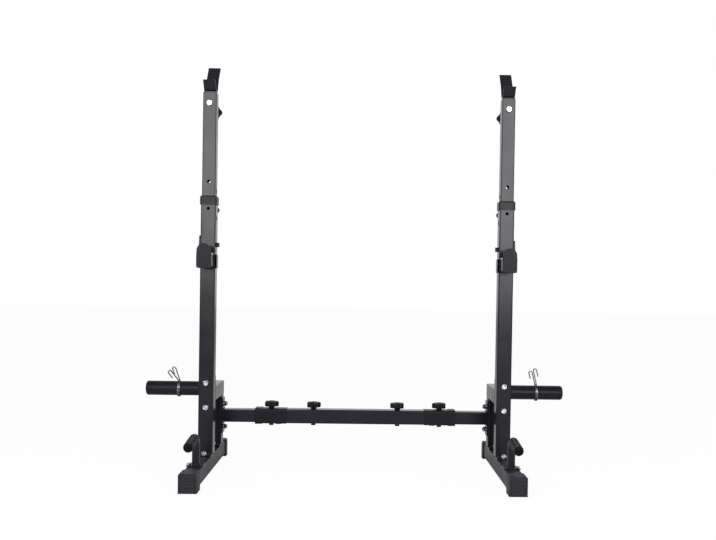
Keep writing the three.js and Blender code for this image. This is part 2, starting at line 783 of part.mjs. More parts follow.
// Domed cap with a plug that fills the peg's mouth.
function pegCap() {
  const radius = pegDiameter / 2;
  const plug = radius - pegWall - 2 * seatGap;
  const shoulder = radius - pegCapRounding;
  const crown = pegCapLength;
  const profile = [new THREE.Vector2(0, -pegCapPlug), new THREE.Vector2(plug, -pegCapPlug)];
  profile.push(new THREE.Vector2(plug, 0), new THREE.Vector2(radius, 0));
  for (let i = 0; i <= pegCapSteps; i += 1) {
    const angle = Math.PI / 2 * i / pegCapSteps;
    const rim = shoulder + pegCapRounding * Math.cos(angle);
    profile.push(new THREE.Vector2(rim, crown - pegCapRounding + pegCapRounding * Math.sin(angle)));
  }
  profile.push(new THREE.Vector2(0, crown));
  const cap = new THREE.LatheGeometry(profile, pegSides).rotateX(Math.PI / 2);
  return solid(along('+x', cap, frameTube / 2 + pegLength + seatGap, 0, pegHeight));
}

// Centre line of the clip's wire: down one hairpin, round the peg and up the other.
function clipLine(grips) {
  const radius = pegDiameter / 2 + clipGap + wireDiameter / 2;
  const start = THREE.MathUtils.degToRad(clipGripAngle);
  const wound = 2 * Math.PI * clipTurns - 2 * start;
  const steps = Math.round(clipStepsPerTurn * wound / (2 * Math.PI));
  const reach = clipPitch * wound / (2 * Math.PI) / 2;
  const around = (angle, distance, out) => new THREE.Vector3(
    out, -distance * Math.sin(angle), distance * Math.cos(angle));
  const hairpin = (angle, foot, grip) => {
    const stem = new THREE.Vector2(grip.out - foot, grip.up - radius).normalize();
    const across = new THREE.Vector2(-stem.y, stem.x).multiplyScalar(grip.fold);
    const peak = new THREE.Vector2(grip.out, grip.up);
    const fold = peak.clone().addScaledVector(across, -hairpinWidth);
    const tip = fold.clone().addScaledVector(stem, -hairpinReturn);
    return [tip, fold, peak].map((point) => around(angle, point.y, point.x));
  };
  const turnsLine = [];
  for (let i = 0; i <= steps; i += 1) {
    const share = i / steps;
    turnsLine.push(around(start + wound * share, radius, reach * (2 * share - 1)));
  }
  const front = hairpin(start, -reach, grips[0]);
  const back = hairpin(-start, reach, grips[1]).reverse();
  const rounded = (corners) => roundedPath(corners, wireBend, wireBendSteps);
  const frontLine = rounded([...front, turnsLine[0], turnsLine[1]]).slice(0, -1);
  const backLine = rounded([turnsLine[steps - 1], turnsLine[steps], ...back]).slice(1);
  return [...frontLine, ...turnsLine.slice(1, -1), ...backLine];
}

// The least gap of a wire to itself, between points further apart along it than nearbyWire.
function leastGap(line) {
  const travelled = [0];
  for (let i = 1; i < line.length; i += 1) {
    travelled.push(travelled[i - 1] + line[i].distanceTo(line[i - 1]));
  }
  let least = Infinity;
  for (let i = 0; i < line.length; i += 1) {
    for (let j = i + 1; j < line.length; j += 1) {
      if (travelled[j] - travelled[i] > nearbyWire) {
        least = Math.min(least, line[i].distanceTo(line[j]) - wireDiameter);
      }
    }
  }
  return least;
}

function springClip(name, clip) {
  const line = clipLine(clip.grips);
  console.log(`${name}: least gap of the wire to itself ${leastGap(line).toFixed(2)} mm`);
  const wound = sweptRound(line, wireDiameter / 2, wireSides);
  return solid(wound.translate(frameTube / 2 + clip.place, 0, pegHeight));
}

// The handle's forward leg starts at the end of the bend and falls by the slope.
const handleFall = THREE.MathUtils.degToRad(handleSlope);
const handleForward = new THREE.Vector3(0, -Math.cos(handleFall), -Math.sin(handleFall));
const handleCorner = new THREE.Vector3(0, -handleReach, handleHeight);
const gripOffset = handleBend * Math.tan(Math.PI / 4 + handleFall / 2) + seatGap;
const gripStart = handleCorner.clone().addScaledVector(handleForward, gripOffset);

// Post with a bend forward. Its foot drops through the plate into the base tube.
function pushUpHandle() {
  const plateBottom = baseTop + seatGap;
  const foot = new THREE.Vector3(0, -handleReach, plateBottom - handleFootDepth);
  const legLength = gripOffset + gripLength - gripEndWall - seatGap;
  const tip = handleCorner.clone().addScaledVector(handleForward, legLength);
  const line = roundedPath([foot, handleCorner, tip], handleBend, handleBendSteps);
  const bore = line.map((point) => point.clone());
  bore[0].z -= cutOverrun;
  bore[bore.length - 1].addScaledVector(handleForward, cutOverrun);
  const tube = sweptRound(line, handleTube / 2, handleSides);
  const hollow = sweptRound(bore, handleTube / 2 - handleWall, handleSides);
  const plate = roundedBar(handlePlate, handlePlate, frameCorner, plateThickness)
    .translate(0, -handleReach, plateBottom);
  const plateHole = drill('+z', smallBoltHole, plateThickness, handleBoltOut, handleBoltPlace, plateBottom);
  return cut(join([solid(tube), solid(plate)]), [solid(hollow), plateHole]);
}

// Fluted sleeve with a rounded closed end.
function handleGrip() {
  const fluted = (radius, place) => {
    const corners = [];
    for (let i = 0; i < 2 * gripFlutes; i += 1) {
      const angle = Math.PI * i / gripFlutes;
      const share = radius / (gripDiameter / 2);
      const spoke = radius - (i % 2) * gripFluteDepth * share;
      corners.push(new THREE.Vector3(spoke * Math.cos(angle), spoke * Math.sin(angle), place));
    }
    return corners;
  };
  const rings = [fluted(gripDiameter / 2, 0)];
  for (let i = 0; i <= gripRoundingSteps; i += 1) {
    const angle = Math.PI / 2 * i / gripRoundingSteps;
    const radius = gripDiameter / 2 - gripRounding * (1 - Math.cos(angle));
    rings.push(fluted(radius, gripLength - gripRounding * (1 - Math.sin(angle))));
  }
  const boreDepth = gripLength - gripEndWall;
  const bore = bit(handleTube / 2 + seatGap, boreDepth + cutOverrun, handleSides)
    .translate(0, 0, -cutOverrun);
  const grip = geometryOf(solid(loft(rings)).subtract(solid(bore)));
  return solid(along('-y', grip).rotateX(handleFall).translate(...gripStart.toArray()));
}

function handleBolt() {
  const bolt = boltHead(smallBoltHeadAcross, smallBoltHeadHeight, smallBoltDiameter, smallBoltLength);
  const top = baseTop + 2 * seatGap + plateThickness;
  return solid(along('-z', geometryOf(bolt), handleBoltOut, handleBoltPlace, top));
}

// Crossbar pieces, in the right half, with x measured from the middle of the stand.

const armOuterEnd = uprightSpacing / 2 - frameTube / 2 - seatGap;

// Arm of the crossbar, slotted above and below so that the knobs' bolts can stay in.
function crossbarArm() {
  const length = armOuterEnd - armInnerEnd;
  const armTube = boxTube(innerTube, frameWall, innerCorner, length);
  const tube = along('+x', armTube, armInnerEnd, bracePostReach, crossbarHeight);
  const flangeHeight = 2 * flangeBoltReach + 2 * flangeMargin;
  const flange = block(plateThickness, frameTube, flangeHeight)
    .translate(armOuterEnd - plateThickness / 2, bracePostReach, crossbarHeight);
  const hollow = innerTube - 2 * frameWall;
  const mouth = roundedBar(hollow, hollow, innerCorner / 2, plateThickness + 2 * cutOverrun);
  const slots = [innerKnobPlace, outerKnobPlace].map((place) => {
    const from = place - armTravelOut;
    const to = place + armTravelIn;
    const slot = roundedBar(to - from + boltHole, boltHole, boltHole / 2, innerTube + 2 * cutOverrun);
    const bottom = crossbarHeight - innerTube / 2 - cutOverrun;
    return solid(slot.translate((from + to) / 2, bracePostReach, bottom));
  });
  const holes = flangeBoltRises.map((rise) => drill(
    '+x', boltHole, plateThickness, armOuterEnd - plateThickness, bracePostReach, crossbarHeight + rise));
  const mouthStart = armOuterEnd - plateThickness - cutOverrun;
  const mouthCut = solid(along('+x', mouth, mouthStart, bracePostReach, crossbarHeight));
  return cut(join([solid(tube), solid(flange)]), [mouthCut, ...slots, ...holes]);
}

// Centre tube, drilled for four knobs, with a welded nut under each inner one.
function crossbarTube() {
  const bottom = crossbarHeight - frameTube / 2;
  const length = 2 * centreTubeHalf;
  const tube = along('+x', boxTube(frameTube, frameWall, frameCorner, length), -centreTubeHalf,
    bracePostReach, crossbarHeight);
  const nuts = [-innerKnobPlace, innerKnobPlace].map((x) => solid(
    hexPrism(boltHeadAcross, nutHeight + frameWall).translate(x, bracePostReach, bottom - nutHeight)));
  const places = [-outerKnobPlace, -innerKnobPlace, innerKnobPlace, outerKnobPlace];
  const holes = places.map((x) => drill(
    '+z', boltHole, frameTube + nutHeight, x, bracePostReach, bottom - nutHeight));
  return cut(join([solid(tube), ...nuts]), holes);
}

// Sleeve on the mouth of the centre tube: thin skirt, thick ring, inner lip, and under
// the skirt the boss that holds the outer knob's nut beside the boss of a snap button.
function crossbarSleeve() {
  const end = centreTubeHalf + seatGap + sleeveLip;
  const hollowWidth = frameTube + 2 * seatGap;
  const skirtWidth = hollowWidth + 2 * sleeveWall;
  const ringWidth = hollowWidth + 2 * sleeveRingWall;
  const mouthWidth = innerTube + 2 * slideGap;
  const place = (geometry, x) => solid(along('+x', geometry, x, bracePostReach, crossbarHeight));
  const skirt = place(roundedBar(skirtWidth, skirtWidth, frameCorner, sleeveLength), end - sleeveLength);
  const ringBar = roundedBar(ringWidth, ringWidth, frameCorner, sleeveRingLength);
  const ring = place(ringBar, end - sleeveRingLength);
  const under = crossbarHeight - hollowWidth / 2;
  const boss = (geometry, x) => solid(along('-z', geometry, x, bracePostReach, under));
  const nutBoss = boss(hexPrism(boltHeadAcross, nutHeight + sleeveWall), outerKnobPlace);
  const buttonBoss = boss(rod(sleeveBossRadius, sleeveBossHeight + sleeveWall, bossSides), sleeveBossPlace);
  const hollowLength = sleeveLength - sleeveLip + cutOverrun;
  const skirtHollow = roundedBar(hollowWidth, hollowWidth, frameCorner, hollowLength);
  const mouth = roundedBar(mouthWidth, mouthWidth, innerCorner, sleeveLip + 2 * cutOverrun);
  const sleeveTop = crossbarHeight + skirtWidth / 2;
  const screwHole = drill('-z', boltHole, skirtWidth + nutHeight, outerKnobPlace, bracePostReach, sleeveTop);
  return cut(join([skirt, ring, nutBoss, buttonBoss]), [
    place(skirtHollow, end - sleeveLength - cutOverrun),
    place(mouth, end - sleeveLip - cutOverrun),
    screwHole,
  ]);
}

// Knob over one of the tube's holes, with its screw down through the nut below.
function crossbarKnob(place, cover) {
  const seat = frameTube / 2 + seatGap + cover;
  const screwLength = seat + frameTube / 2 + nutHeight;
  return screwKnob(screwLength).translate([place, bracePostReach, crossbarHeight + seat]);
}

// The stand as a scene

const stand = new THREE.Group();
const gripEnd = gripStart.clone().addScaledVector(handleForward, gripLength);
const frontEnd = Math.max(-gripEnd.y, baseFront + seatGap + footFaceThickness);
const backEnd = baseBack + seatGap + footFaceThickness;
stand.position.y = (frontEnd - backEnd) / 2;

function addMesh(group, name, geometry, finish) {
  const mesh = new THREE.Mesh(geometry, new THREE.MeshStandardMaterial(finish));
  mesh.name = name;
  group.add(mesh);
  return mesh;
}

const towerPieces = [
  ['base_tube', baseTube(), paint],
  ['upright', upright(), paint],
  ['upright_collar', uprightCollar(), moulded],
  ['height_tube', heightTube(), paint],
  ['bar_cradle', barCradle(), paint],
  ['cradle_bolt', cradleBolt(), zinc],
  ['cradle_knob', cradleKnob(), moulded],
  ['height_knob', heightKnob(), moulded],
  ['safety_hook', safetyHook(), paint],
  ['hook_pin', hookPin(), paint],
  ['rear_brace', rearBrace(), paint],
  ['brace_plug', bracePlug(), moulded],
  ['brace_bolt_lower', braceBolt(-flangeBoltReach), zinc],
  ['brace_bolt_upper', braceBolt(flangeBoltReach), zinc],
  ['flange_bolt_lower', flangeBolt(-flangeBoltReach), zinc],
  ['flange_bolt_upper', flangeBolt(flangeBoltReach), zinc],
  ['foot_bolt_front', footBolt(-footBoltReach), zinc],
  ['foot_bolt_back', footBolt(braceFootBolt), zinc],
  ['peg_cap', pegCap(), moulded],
  ['push_up_handle', pushUpHandle(), paint],
  ['handle_grip', handleGrip(), rubber],
  ['handle_bolt', handleBolt(), zinc],
];
const footPieces = [
  ['front_foot', frontFoot(), -baseFront - seatGap - footFaceThickness],
  ['back_foot', backFoot(), baseBack + seatGap + footFaceThickness],
];
const crossbarPieces = [
  ['crossbar_arm', crossbarArm(), paint],
  ['crossbar_sleeve', crossbarSleeve(), moulded],
  ['crossbar_knob_outer', crossbarKnob(outerKnobPlace, seatGap + sleeveWall), moulded],
  ['crossbar_knob_inner', crossbarKnob(innerKnobPlace, 0), moulded],
];

for (const [side, sign] of [['left', -1], ['right', 1]]) {
  const shown = (piece) => (sign > 0 ? geometryOf(piece) : mirrored(geometryOf(piece)));
  const tower = new THREE.Group();
  tower.position.x = sign * uprightSpacing / 2;
  stand.add(tower);
  for (const [name, piece, finish] of towerPieces) {
    addMesh(tower, `${name}_${side}`, shown(piece), finish);
  }
  for (const [name, piece, y] of footPieces) {
    addMesh(tower, `${name}_${side}`, shown(piece), rubber).position.y = y;
  }
  const clipName = `spring_clip_${side}`;
  const clip = springClip(clipName, sign > 0 ? rightClip : leftClip);
  addMesh(tower, clipName, shown(clip), wire);
  for (const [name, piece, finish] of crossbarPieces) {
    addMesh(stand, `${name}_${side}`, shown(piece), finish);
  }
}
addMesh(stand, 'crossbar_tube', geometryOf(crossbarTube()), paint);

export default stand;
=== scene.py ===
# %% [markdown]
# # Squat stand
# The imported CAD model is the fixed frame. This notebook puts the finish on it: fine steel
# tube with welds, bolts, moulded knobs, fluted grips and wire clips. Each one is a surface
# that numpy works out from a few sizes, and it sits where its CAD node is.

# %% Load the frame
import json
import math

import bmesh
import bpy
import numpy as np
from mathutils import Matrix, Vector


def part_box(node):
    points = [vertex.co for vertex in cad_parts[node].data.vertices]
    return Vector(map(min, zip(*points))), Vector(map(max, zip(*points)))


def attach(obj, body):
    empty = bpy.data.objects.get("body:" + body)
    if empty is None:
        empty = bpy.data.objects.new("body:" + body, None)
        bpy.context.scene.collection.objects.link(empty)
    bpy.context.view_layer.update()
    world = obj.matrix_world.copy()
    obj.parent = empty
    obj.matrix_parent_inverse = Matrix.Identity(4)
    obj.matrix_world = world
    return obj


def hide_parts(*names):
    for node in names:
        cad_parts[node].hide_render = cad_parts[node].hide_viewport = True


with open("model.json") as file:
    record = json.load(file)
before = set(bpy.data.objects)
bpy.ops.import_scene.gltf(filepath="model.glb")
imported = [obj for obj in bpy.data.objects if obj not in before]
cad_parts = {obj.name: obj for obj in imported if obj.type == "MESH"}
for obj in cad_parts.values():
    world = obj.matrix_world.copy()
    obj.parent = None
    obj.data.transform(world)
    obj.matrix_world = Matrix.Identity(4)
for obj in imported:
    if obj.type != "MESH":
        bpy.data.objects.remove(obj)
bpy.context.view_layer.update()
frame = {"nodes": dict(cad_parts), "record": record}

mm = 0.001

# %% [markdown]
# ## Camera
# The camera stands in front of the stand, as high as a person's thigh. It is turned a little
# about its own axis and tipped a little down, which is why the two towers spread towards the
# top of the picture. The photograph was cropped off centre, and a small shift of the lens
# does the same.

# %% Camera
photo_width = 716
sensor_width = 36
focal_pixels = 953
axis_below_middle = 27.6
axis_right_of_middle = 31.6
camera_turn = math.radians(1.78)
camera_roll = math.radians(0.93)
camera_tip = math.radians(0.85)
camera_across = 9 * mm
camera_distance = 3215 * mm
camera_height = 644.5 * mm

scene = bpy.context.scene
camera_data = bpy.data.cameras.new("photo_camera")
camera_data.sensor_width = sensor_width
camera_data.lens = focal_pixels / photo_width * sensor_width
camera_data.shift_x = -axis_right_of_middle / photo_width
camera_data.shift_y = axis_below_middle / photo_width
camera_data.clip_end = 100
camera = bpy.data.objects.new("photo_camera", camera_data)
camera.location = (camera_across, -camera_distance, camera_height)
camera.rotation_euler = (math.radians(90) - camera_tip, -camera_roll, -camera_turn)
scene.collection.objects.link(camera)
scene.camera = camera
scene.view_settings.view_transform = "Standard"
print("lens", round(camera_data.lens, 1), "mm")

# %% [markdown]
# ## Lamps
# A product shot has tall soft boxes in front. Here one for each tower stands behind the
# camera, with its lower edge above knee height. The satin uprights mirror it in their upper
# part only, so black paint looks grey at the top and deep black near the floor. A pair of
# smaller lamps at the sides and a pair behind fill in what the soft boxes leave dark.

# %% Lamps
lamp_power = 48
lamp_width = 1.25
lamp_colour = (0.98, 0.955, 1.0)
lamp_lows = {"left": 0.74, "right": 0.58}
lamp_high = 2.6
lamp_out = 1.12
lamp_front = -3.8
fill_size = 1.6
fill_target = (0, 0, 0.9)
fill_lamps = {
    "side": (26, (2.8, -1.2, 1.9)),
    "back": (12, (2.2, 3.4, 2.8)),
}


def area_lamp(name, power, width, height, place, target):
    """A soft box: a rectangle that shines towards its target."""
    data = bpy.data.lights.new(name, "AREA")
    data.shape = "RECTANGLE"
    data.size = width
    data.size_y = height
    data.energy = power
    data.color = lamp_colour
    lamp = bpy.data.objects.new(name, data)
    lamp.location = place
    aim = Vector(target) - Vector(place)
    lamp.rotation_euler = aim.to_track_quat("-Z", "Y").to_euler()
    lamp.visible_camera = False
    scene.collection.objects.link(lamp)


for side_name, out in [("left", -lamp_out), ("right", lamp_out)]:
    lamp_height = lamp_high - lamp_lows[side_name]
    lamp_middle = lamp_lows[side_name] + lamp_height / 2
    area_lamp(f"{side_name}_soft_box", lamp_power * lamp_height, lamp_width, lamp_height,
              (out, lamp_front, lamp_middle), (out, 0, lamp_middle))
for name, (power, (x, y, z)) in fill_lamps.items():
    for number, place in enumerate([(-x, y, z), (x, y, z)]):
        area_lamp(f"{name}_lamp_{number}", power, fill_size, fill_size, place, fill_target)
print("lamps", len(lamp_lows) + 2 * len(fill_lamps))

# %% [markdown]
# ## Shader nodes
# A shader is a graph of nodes. These helpers make a node and fill in its inputs in one line,
# so that the code reads like a formula: an input takes either a value or the output of a
# node that was made before, and then the two are linked.

# %% Helpers for shader nodes
white = (1, 1, 1, 1)
mix_sockets = {"FLOAT": (2, 3, 0), "RGBA": (6, 7, 2)}


def feed(tree, socket, value):
    """Gives an input its value, or links it to the output of another node."""
    if isinstance(value, bpy.types.NodeSocket):
        tree.links.new(value, socket)
    else:
        socket.default_value = value


def fill(tree, made, *inputs, **values):
    """Fills in inputs by their order or name, where From_Min stands for From Min, and sets the rest."""
    entries = dict(enumerate(inputs))
    for name, value in values.items():
        label = name.replace("_", " ")
        if label in made.inputs:
            entries[label] = value
        else:
            setattr(made, name, value)
    for entry, value in entries.items():
        feed(tree, made.inputs[entry], value)
    return made


def node(tree, kind, *inputs, **values):
    """A new shader node, filled in."""
    return fill(tree, tree.nodes.new("ShaderNode" + kind), *inputs, **values)


def result(tree, kind, *inputs, **values):
    """The first output of a new shader node."""
    return node(tree, kind, *inputs, **values).outputs[0]


def mixed(tree, kind, share, one, other):
    """The output of a mix of two numbers or two colours, which have sockets of their own in one node."""
    one_at, other_at, result_at = mix_sockets[kind]
    made = node(tree, "Mix", share, data_type=kind)
    feed(tree, made.inputs[one_at], one)
    feed(tree, made.inputs[other_at], other)
    return made.outputs[result_at]


def mirror_rays(tree, rays):
    """1 for rays that a mirror or glass sends on, else 0: the larger of two outputs of Light Path."""
    return result(tree, "Math", rays["Is Glossy Ray"], rays["Is Transmission Ray"], operation="MAXIMUM")


def empty_tree(owner):
    """The node tree of a new world or material, without the nodes it comes with."""
    owner.use_nodes = True
    owner.node_tree.nodes.clear()
    return owner.node_tree


print("sockets of a mix", mix_sockets)

# %% [markdown]
# ## World and floor
# The picture's white is the colour that the world and the floor have for the camera and for
# reflections, so it adds no light to the stand. The room behind the camera is darker, and the
# floor is less white in a reflection, because there the stand's own shade lies on it. What
# lights the stand, besides the lamps, is a plain and much dimmer world.

# %% World and floor
world_light = 0.34
floor_half = 20
floor_colour = 0.93
floor_white_seen = 0.96
floor_white_mirrored = 0.1
horizon_white = 1.0
horizon_rise = 0.15
zenith_grey = 0.35
room_dark = 0.35
room_dark_until = -0.55
backdrop_from = 0.1


def studio_world():
    """White for the camera. For mirrors, a grade by height times a grade by depth, dark behind the camera."""
    world = bpy.data.worlds.new("studio")
    tree = empty_tree(world)
    rays = node(tree, "LightPath").outputs
    heading = node(tree, "SeparateXYZ", node(tree, "TexCoord").outputs["Generated"]).outputs
    by_height = result(tree, "MapRange", heading["Z"], From_Min=horizon_rise, To_Min=horizon_white,
                       To_Max=zenith_grey)
    by_depth = result(tree, "MapRange", heading["Y"], From_Min=room_dark_until, From_Max=backdrop_from,
                      To_Min=room_dark)
    level = result(tree, "Math", by_height, by_depth, operation="MULTIPLY")
    plain = result(tree, "Background", white, world_light)
    graded = result(tree, "Background", white, level)
    unseen = result(tree, "MixShader", mirror_rays(tree, rays), plain, graded)
    seen = result(tree, "Background", white)
    node(tree, "OutputWorld", result(tree, "MixShader", rays["Is Camera Ray"], unseen, seen))
    world.cycles.sampling_method = "NONE"
    return world


def floor_material():
    """A matt floor that takes shadow, with one share of plain white for the camera and one for mirrors."""
    material = bpy.data.materials.new("pale_floor")
    tree = empty_tree(material)
    rays = node(tree, "LightPath").outputs
    seen = result(tree, "Math", rays["Is Camera Ray"], floor_white_seen, operation="MULTIPLY")
    share = result(tree, "Math", mirror_rays(tree, rays), floor_white_mirrored, seen,
                   operation="MULTIPLY_ADD")
    matt = result(tree, "BsdfDiffuse", (floor_colour, floor_colour, floor_colour, 1))
    node(tree, "OutputMaterial", result(tree, "MixShader", share, matt, result(tree, "Emission", white)))
    return material


scene.world = studio_world()
floor_corners = [(-floor_half, -floor_half, 0), (floor_half, -floor_half, 0),
                 (floor_half, floor_half, 0), (-floor_half, floor_half, 0)]
floor_mesh = bpy.data.meshes.new("floor")
floor_mesh.from_pydata(floor_corners, [], [(0, 1, 2, 3)])
floor_mesh.materials.append(floor_material())
floor = bpy.data.objects.new("floor", floor_mesh)
scene.collection.objects.link(floor)
print("floor", 2 * floor_half, "m across")

# %% [markdown]
# ## Effects that several finishes share
# Powder coat, moulded plastic and rubber all have a fine skin, a slow change of tone and
# dust on what faces up. Each effect is a node group that puts out a value between 0 and 1,
# and each material mixes it in with its own strength. The patterns read Object coordinates,
# which are metres here, so a scale of 900 means bumps a bit over a millimetre apart.

# %% Shared node groups
tone_scale = 9.0
dust_facing = 0.5
dust_from = 0.35
dust_until = 0.75
scuff_stretch = (6.0, 6.0, 0.7)
scuff_lean = (0.5, 0.3, 0.0)
scuff_full = 0.85


def effect_group(name, inputs, outputs):
    """An empty node group with named value sockets: the group, what it is given and what it gives."""
    group = bpy.data.node_groups.new(name, "ShaderNodeTree")
    for label, default in inputs.items():
        socket = group.interface.new_socket(label, in_out="INPUT", socket_type="NodeSocketFloat")
        socket.default_value = default
    for label in outputs:
        group.interface.new_socket(label, in_out="OUTPUT", socket_type="NodeSocketFloat")
    given = group.nodes.new("NodeGroupInput").outputs
    return group, given, group.nodes.new("NodeGroupOutput").inputs


def skin_group():
    """Fine bumps at one scale on slow waves at another, and a slow tone over tens of centimetres."""
    group, given, effects = effect_group(
        "surface_skin", {"Grain Scale": 900.0, "Wave Scale": 60.0, "Wave Share": 0.35}, ["Height", "Tone"])
    here = node(group, "TexCoord").outputs["Object"]
    grain = result(group, "TexNoise", Vector=here, Scale=given["Grain Scale"], Detail=2.0, Roughness=0.5)
    wave = result(group, "TexNoise", Vector=here, Scale=given["Wave Scale"], Detail=1.0)
    tone = result(group, "TexNoise", Vector=here, Scale=tone_scale, Detail=3.0, Roughness=0.6)
    feed(group, effects["Height"], mixed(group, "FLOAT", given["Wave Share"], grain, wave))
    feed(group, effects["Tone"], tone)
    return group


def dust_group():
    """Dust lies on what faces up, in patches: the upward part of the normal times a soft noise."""
    group, given, effects = effect_group("dust", {"Patch Scale": 35.0}, ["Dust"])
    where = node(group, "TexCoord").outputs
    facing = node(group, "SeparateXYZ", where["Normal"]).outputs["Z"]
    upward = result(group, "MapRange", facing, From_Min=dust_facing)
    noise = result(group, "TexNoise", Vector=where["Object"], Scale=given["Patch Scale"], Detail=6.0,
                   Roughness=0.65)
    tone_and_painted_reflection = result(group, "MapRange", noise, From_Min=dust_from, From_Max=dust_until)
    feed(group, effects["Dust"], result(group, "Math", upward, tone_and_painted_reflection, operation="MULTIPLY"))
    return group


def scuff_group():
    """Fine scuffs: noise drawn out along one axis, of which only the peaks are kept."""
    group, given, effects = effect_group("scuffs", {"Scale": 40.0, "Threshold": 0.66}, ["Scuff"])
    here = node(group, "TexCoord").outputs["Object"]
    drawn_out = result(group, "Mapping", here, Scale=scuff_stretch, Rotation=scuff_lean)
    streaks = result(group, "TexNoise", Vector=drawn_out, Scale=given["Scale"], Detail=4.0, Roughness=0.7)
    feed(group, effects["Scuff"], result(group, "MapRange", streaks, From_Min=given["Threshold"],
                                         From_Max=scuff_full))
    return group


surface_skin = skin_group()
dust = dust_group()
scuffs = scuff_group()
print("node groups", surface_skin.name, dust.name, scuffs.name)

# %% [markdown]
# ## Finishes
# The record has six finishes: black paint, moulded plastic, shoe rubber, grip rubber, zinc and
# spring wire. Paint and plastic each have a second coat here, because the base, pegs and hook
# lips are duller than the uprights and the collar is a little lighter than the knobs. The
# colours are dark, so what tells them apart is how they shine: powder coat has a satin skin
# like orange peel, moulded plastic a finer and duller one, and rubber is matt.

# %% Finishes
tone_from = 0.3
tone_until = 0.7
scuff_brightness = 3
patch_from = 0.38
patch_until = 0.6


def opaque(colour):
    """A colour with full alpha, as a colour socket wants it."""
    return (*colour, 1)


def blank_material(name):
    """A new material, its node tree and its shader."""
    material = bpy.data.materials.new(name)
    material.use_nodes = True
    return material, material.node_tree, material.node_tree.nodes["Principled BSDF"]


def gloss_between(tree, polished, rough, value):
    """Roughness that goes from polished to rough as the value rises over the span of the tones."""
    return result(tree, "MapRange", value, From_Min=tone_from, From_Max=tone_until,
                  To_Min=polished, To_Max=rough)


def laid_on(tree, under, effect, most, colour):
    """A colour laid over another by an effect's group, at most by the share that is given."""
    share = result(tree, "Math", result(tree, "Group", node_tree=effect), most, operation="MULTIPLY")
    return mixed(tree, "RGBA", share, under, opaque(colour))


def coated(name, dark, light, rough, polished, specular, grain, wave_share, bump, dust_most, scuff_most=0.0):
    """A dark finish whose tone drifts from dark to light, with skin, dust and a few scuffs."""
    material, tree, shader = blank_material(name)
    skin_of = node(tree, "Group", node_tree=surface_skin, Grain_Scale=grain, Wave_Share=wave_share).outputs
    tone = mixed(tree, "RGBA", skin_of["Tone"], opaque(dark), opaque(light))
    scuffed = laid_on(tree, tone, scuffs, scuff_most, [scuff_brightness * part for part in light])
    fill(tree, shader, Specular_IOR_Level=specular,
         Base_Color=laid_on(tree, scuffed, dust, dust_most, grey_dust),
         Roughness=gloss_between(tree, polished, rough, skin_of["Tone"]),
         Normal=result(tree, "Bump", Distance=bump, Height=skin_of["Height"]))
    return material


def plated(name, dark, light, polished, rough, grain, bump, painted_edge_shade, patch=250.0, patch_share=0.35):
    """Bright plated steel: a metal whose gloss changes in patches and whose colour goes from dark to light in
    the same patches. Where dark and light lie far apart, as on the zinc, the patches are painted reflection,
    dark and bright, more than the plating's own tone.
    """
    material, tree, shader = blank_material(name)
    height = result(tree, "Group", node_tree=surface_skin, Grain_Scale=grain, Wave_Scale=patch,
                    Wave_Share=patch_share)
    # The patches also set the colour, between dark and light: on the zinc a painted reflection of dark and
    # bright surroundings, on the wire a small change of tone.
    tone_and_painted_reflection = result(tree, "MapRange", height, From_Min=patch_from, From_Max=patch_until)
    # Specular Tint darkens the metal's reflection at grazing edges: painted shade that draws a dark outline
    # round the wire and the bolts.
    fill(tree, shader, Metallic=1, Specular_Tint=opaque(painted_edge_shade),
         Base_Color=mixed(tree, "RGBA", tone_and_painted_reflection, opaque(dark), opaque(light)),
         Roughness=gloss_between(tree, polished, rough, height),
         Normal=result(tree, "Bump", Distance=bump, Height=height))
    return material


grey_dust = (0.09, 0.088, 0.09)
paint = {"dark": (0.0045, 0.0042, 0.0060), "light": (0.0090, 0.0085, 0.0115), "grain": 900,
         "wave_share": 0.45, "bump": 0.03 * mm, "dust_most": 0.12, "scuff_most": 0.25}
plastic = {"grain": 1600, "wave_share": 0.2, "bump": 0.04 * mm, "dust_most": 0.16}
coats = {
    "black_paint": {**paint, "rough": 0.26, "polished": 0.19, "specular": 0.2},
    "dull_paint": {**paint, "rough": 0.42, "polished": 0.34, "specular": 0.11},
    "moulded_plastic": {
        **plastic, "dark": (0.0035, 0.0033, 0.0045), "light": (0.0070, 0.0067, 0.0085),
        "rough": 0.46, "polished": 0.34, "specular": 0.13},
    "collar_plastic": {
        **plastic, "dark": (0.005, 0.005, 0.006), "light": (0.009, 0.009, 0.011),
        "rough": 0.42, "polished": 0.34, "specular": 0.16},
    "foot_rubber": {
        "dark": (0.0095, 0.0088, 0.0115), "light": (0.0180, 0.0168, 0.0215), "rough": 0.62, "polished": 0.48,
        "specular": 0.2, "grain": 700, "wave_share": 0.3, "bump": 0.07 * mm, "dust_most": 0.3},
    "grip_rubber": {
        "dark": (0.0022, 0.0022, 0.0023), "light": (0.0045, 0.0045, 0.0047), "rough": 0.42, "polished": 0.32,
        "specular": 0.05, "grain": 1200, "wave_share": 0.2, "bump": 0.05 * mm, "dust_most": 0.15},
}
plates = {
    # Zinc: dark and light far apart in large patches, painted reflection on the bolt heads and nuts.
    "zinc_fastener": {
        "dark": (0.13, 0.135, 0.15), "light": (0.72, 0.73, 0.75), "polished": 0.1, "rough": 0.26,
        "grain": 1500, "bump": 0.02 * mm, "painted_edge_shade": (0.5, 0.5, 0.5), "patch": 150.0, "patch_share": 0.75},
    # Spring wire: a near-black edge tint, painted shade for the wire's dark outline.
    "spring_wire": {
        "dark": (0.14, 0.14, 0.14), "light": (0.26, 0.26, 0.26), "polished": 0.16, "rough": 0.28,
        "grain": 600, "bump": 0.015 * mm, "painted_edge_shade": (0.12, 0.12, 0.12)},
}
finishes = {name: coated(name, **values) for name, values in coats.items()}
finishes.update({name: plated(name, **values) for name, values in plates.items()})
print("finishes", sorted(finishes))

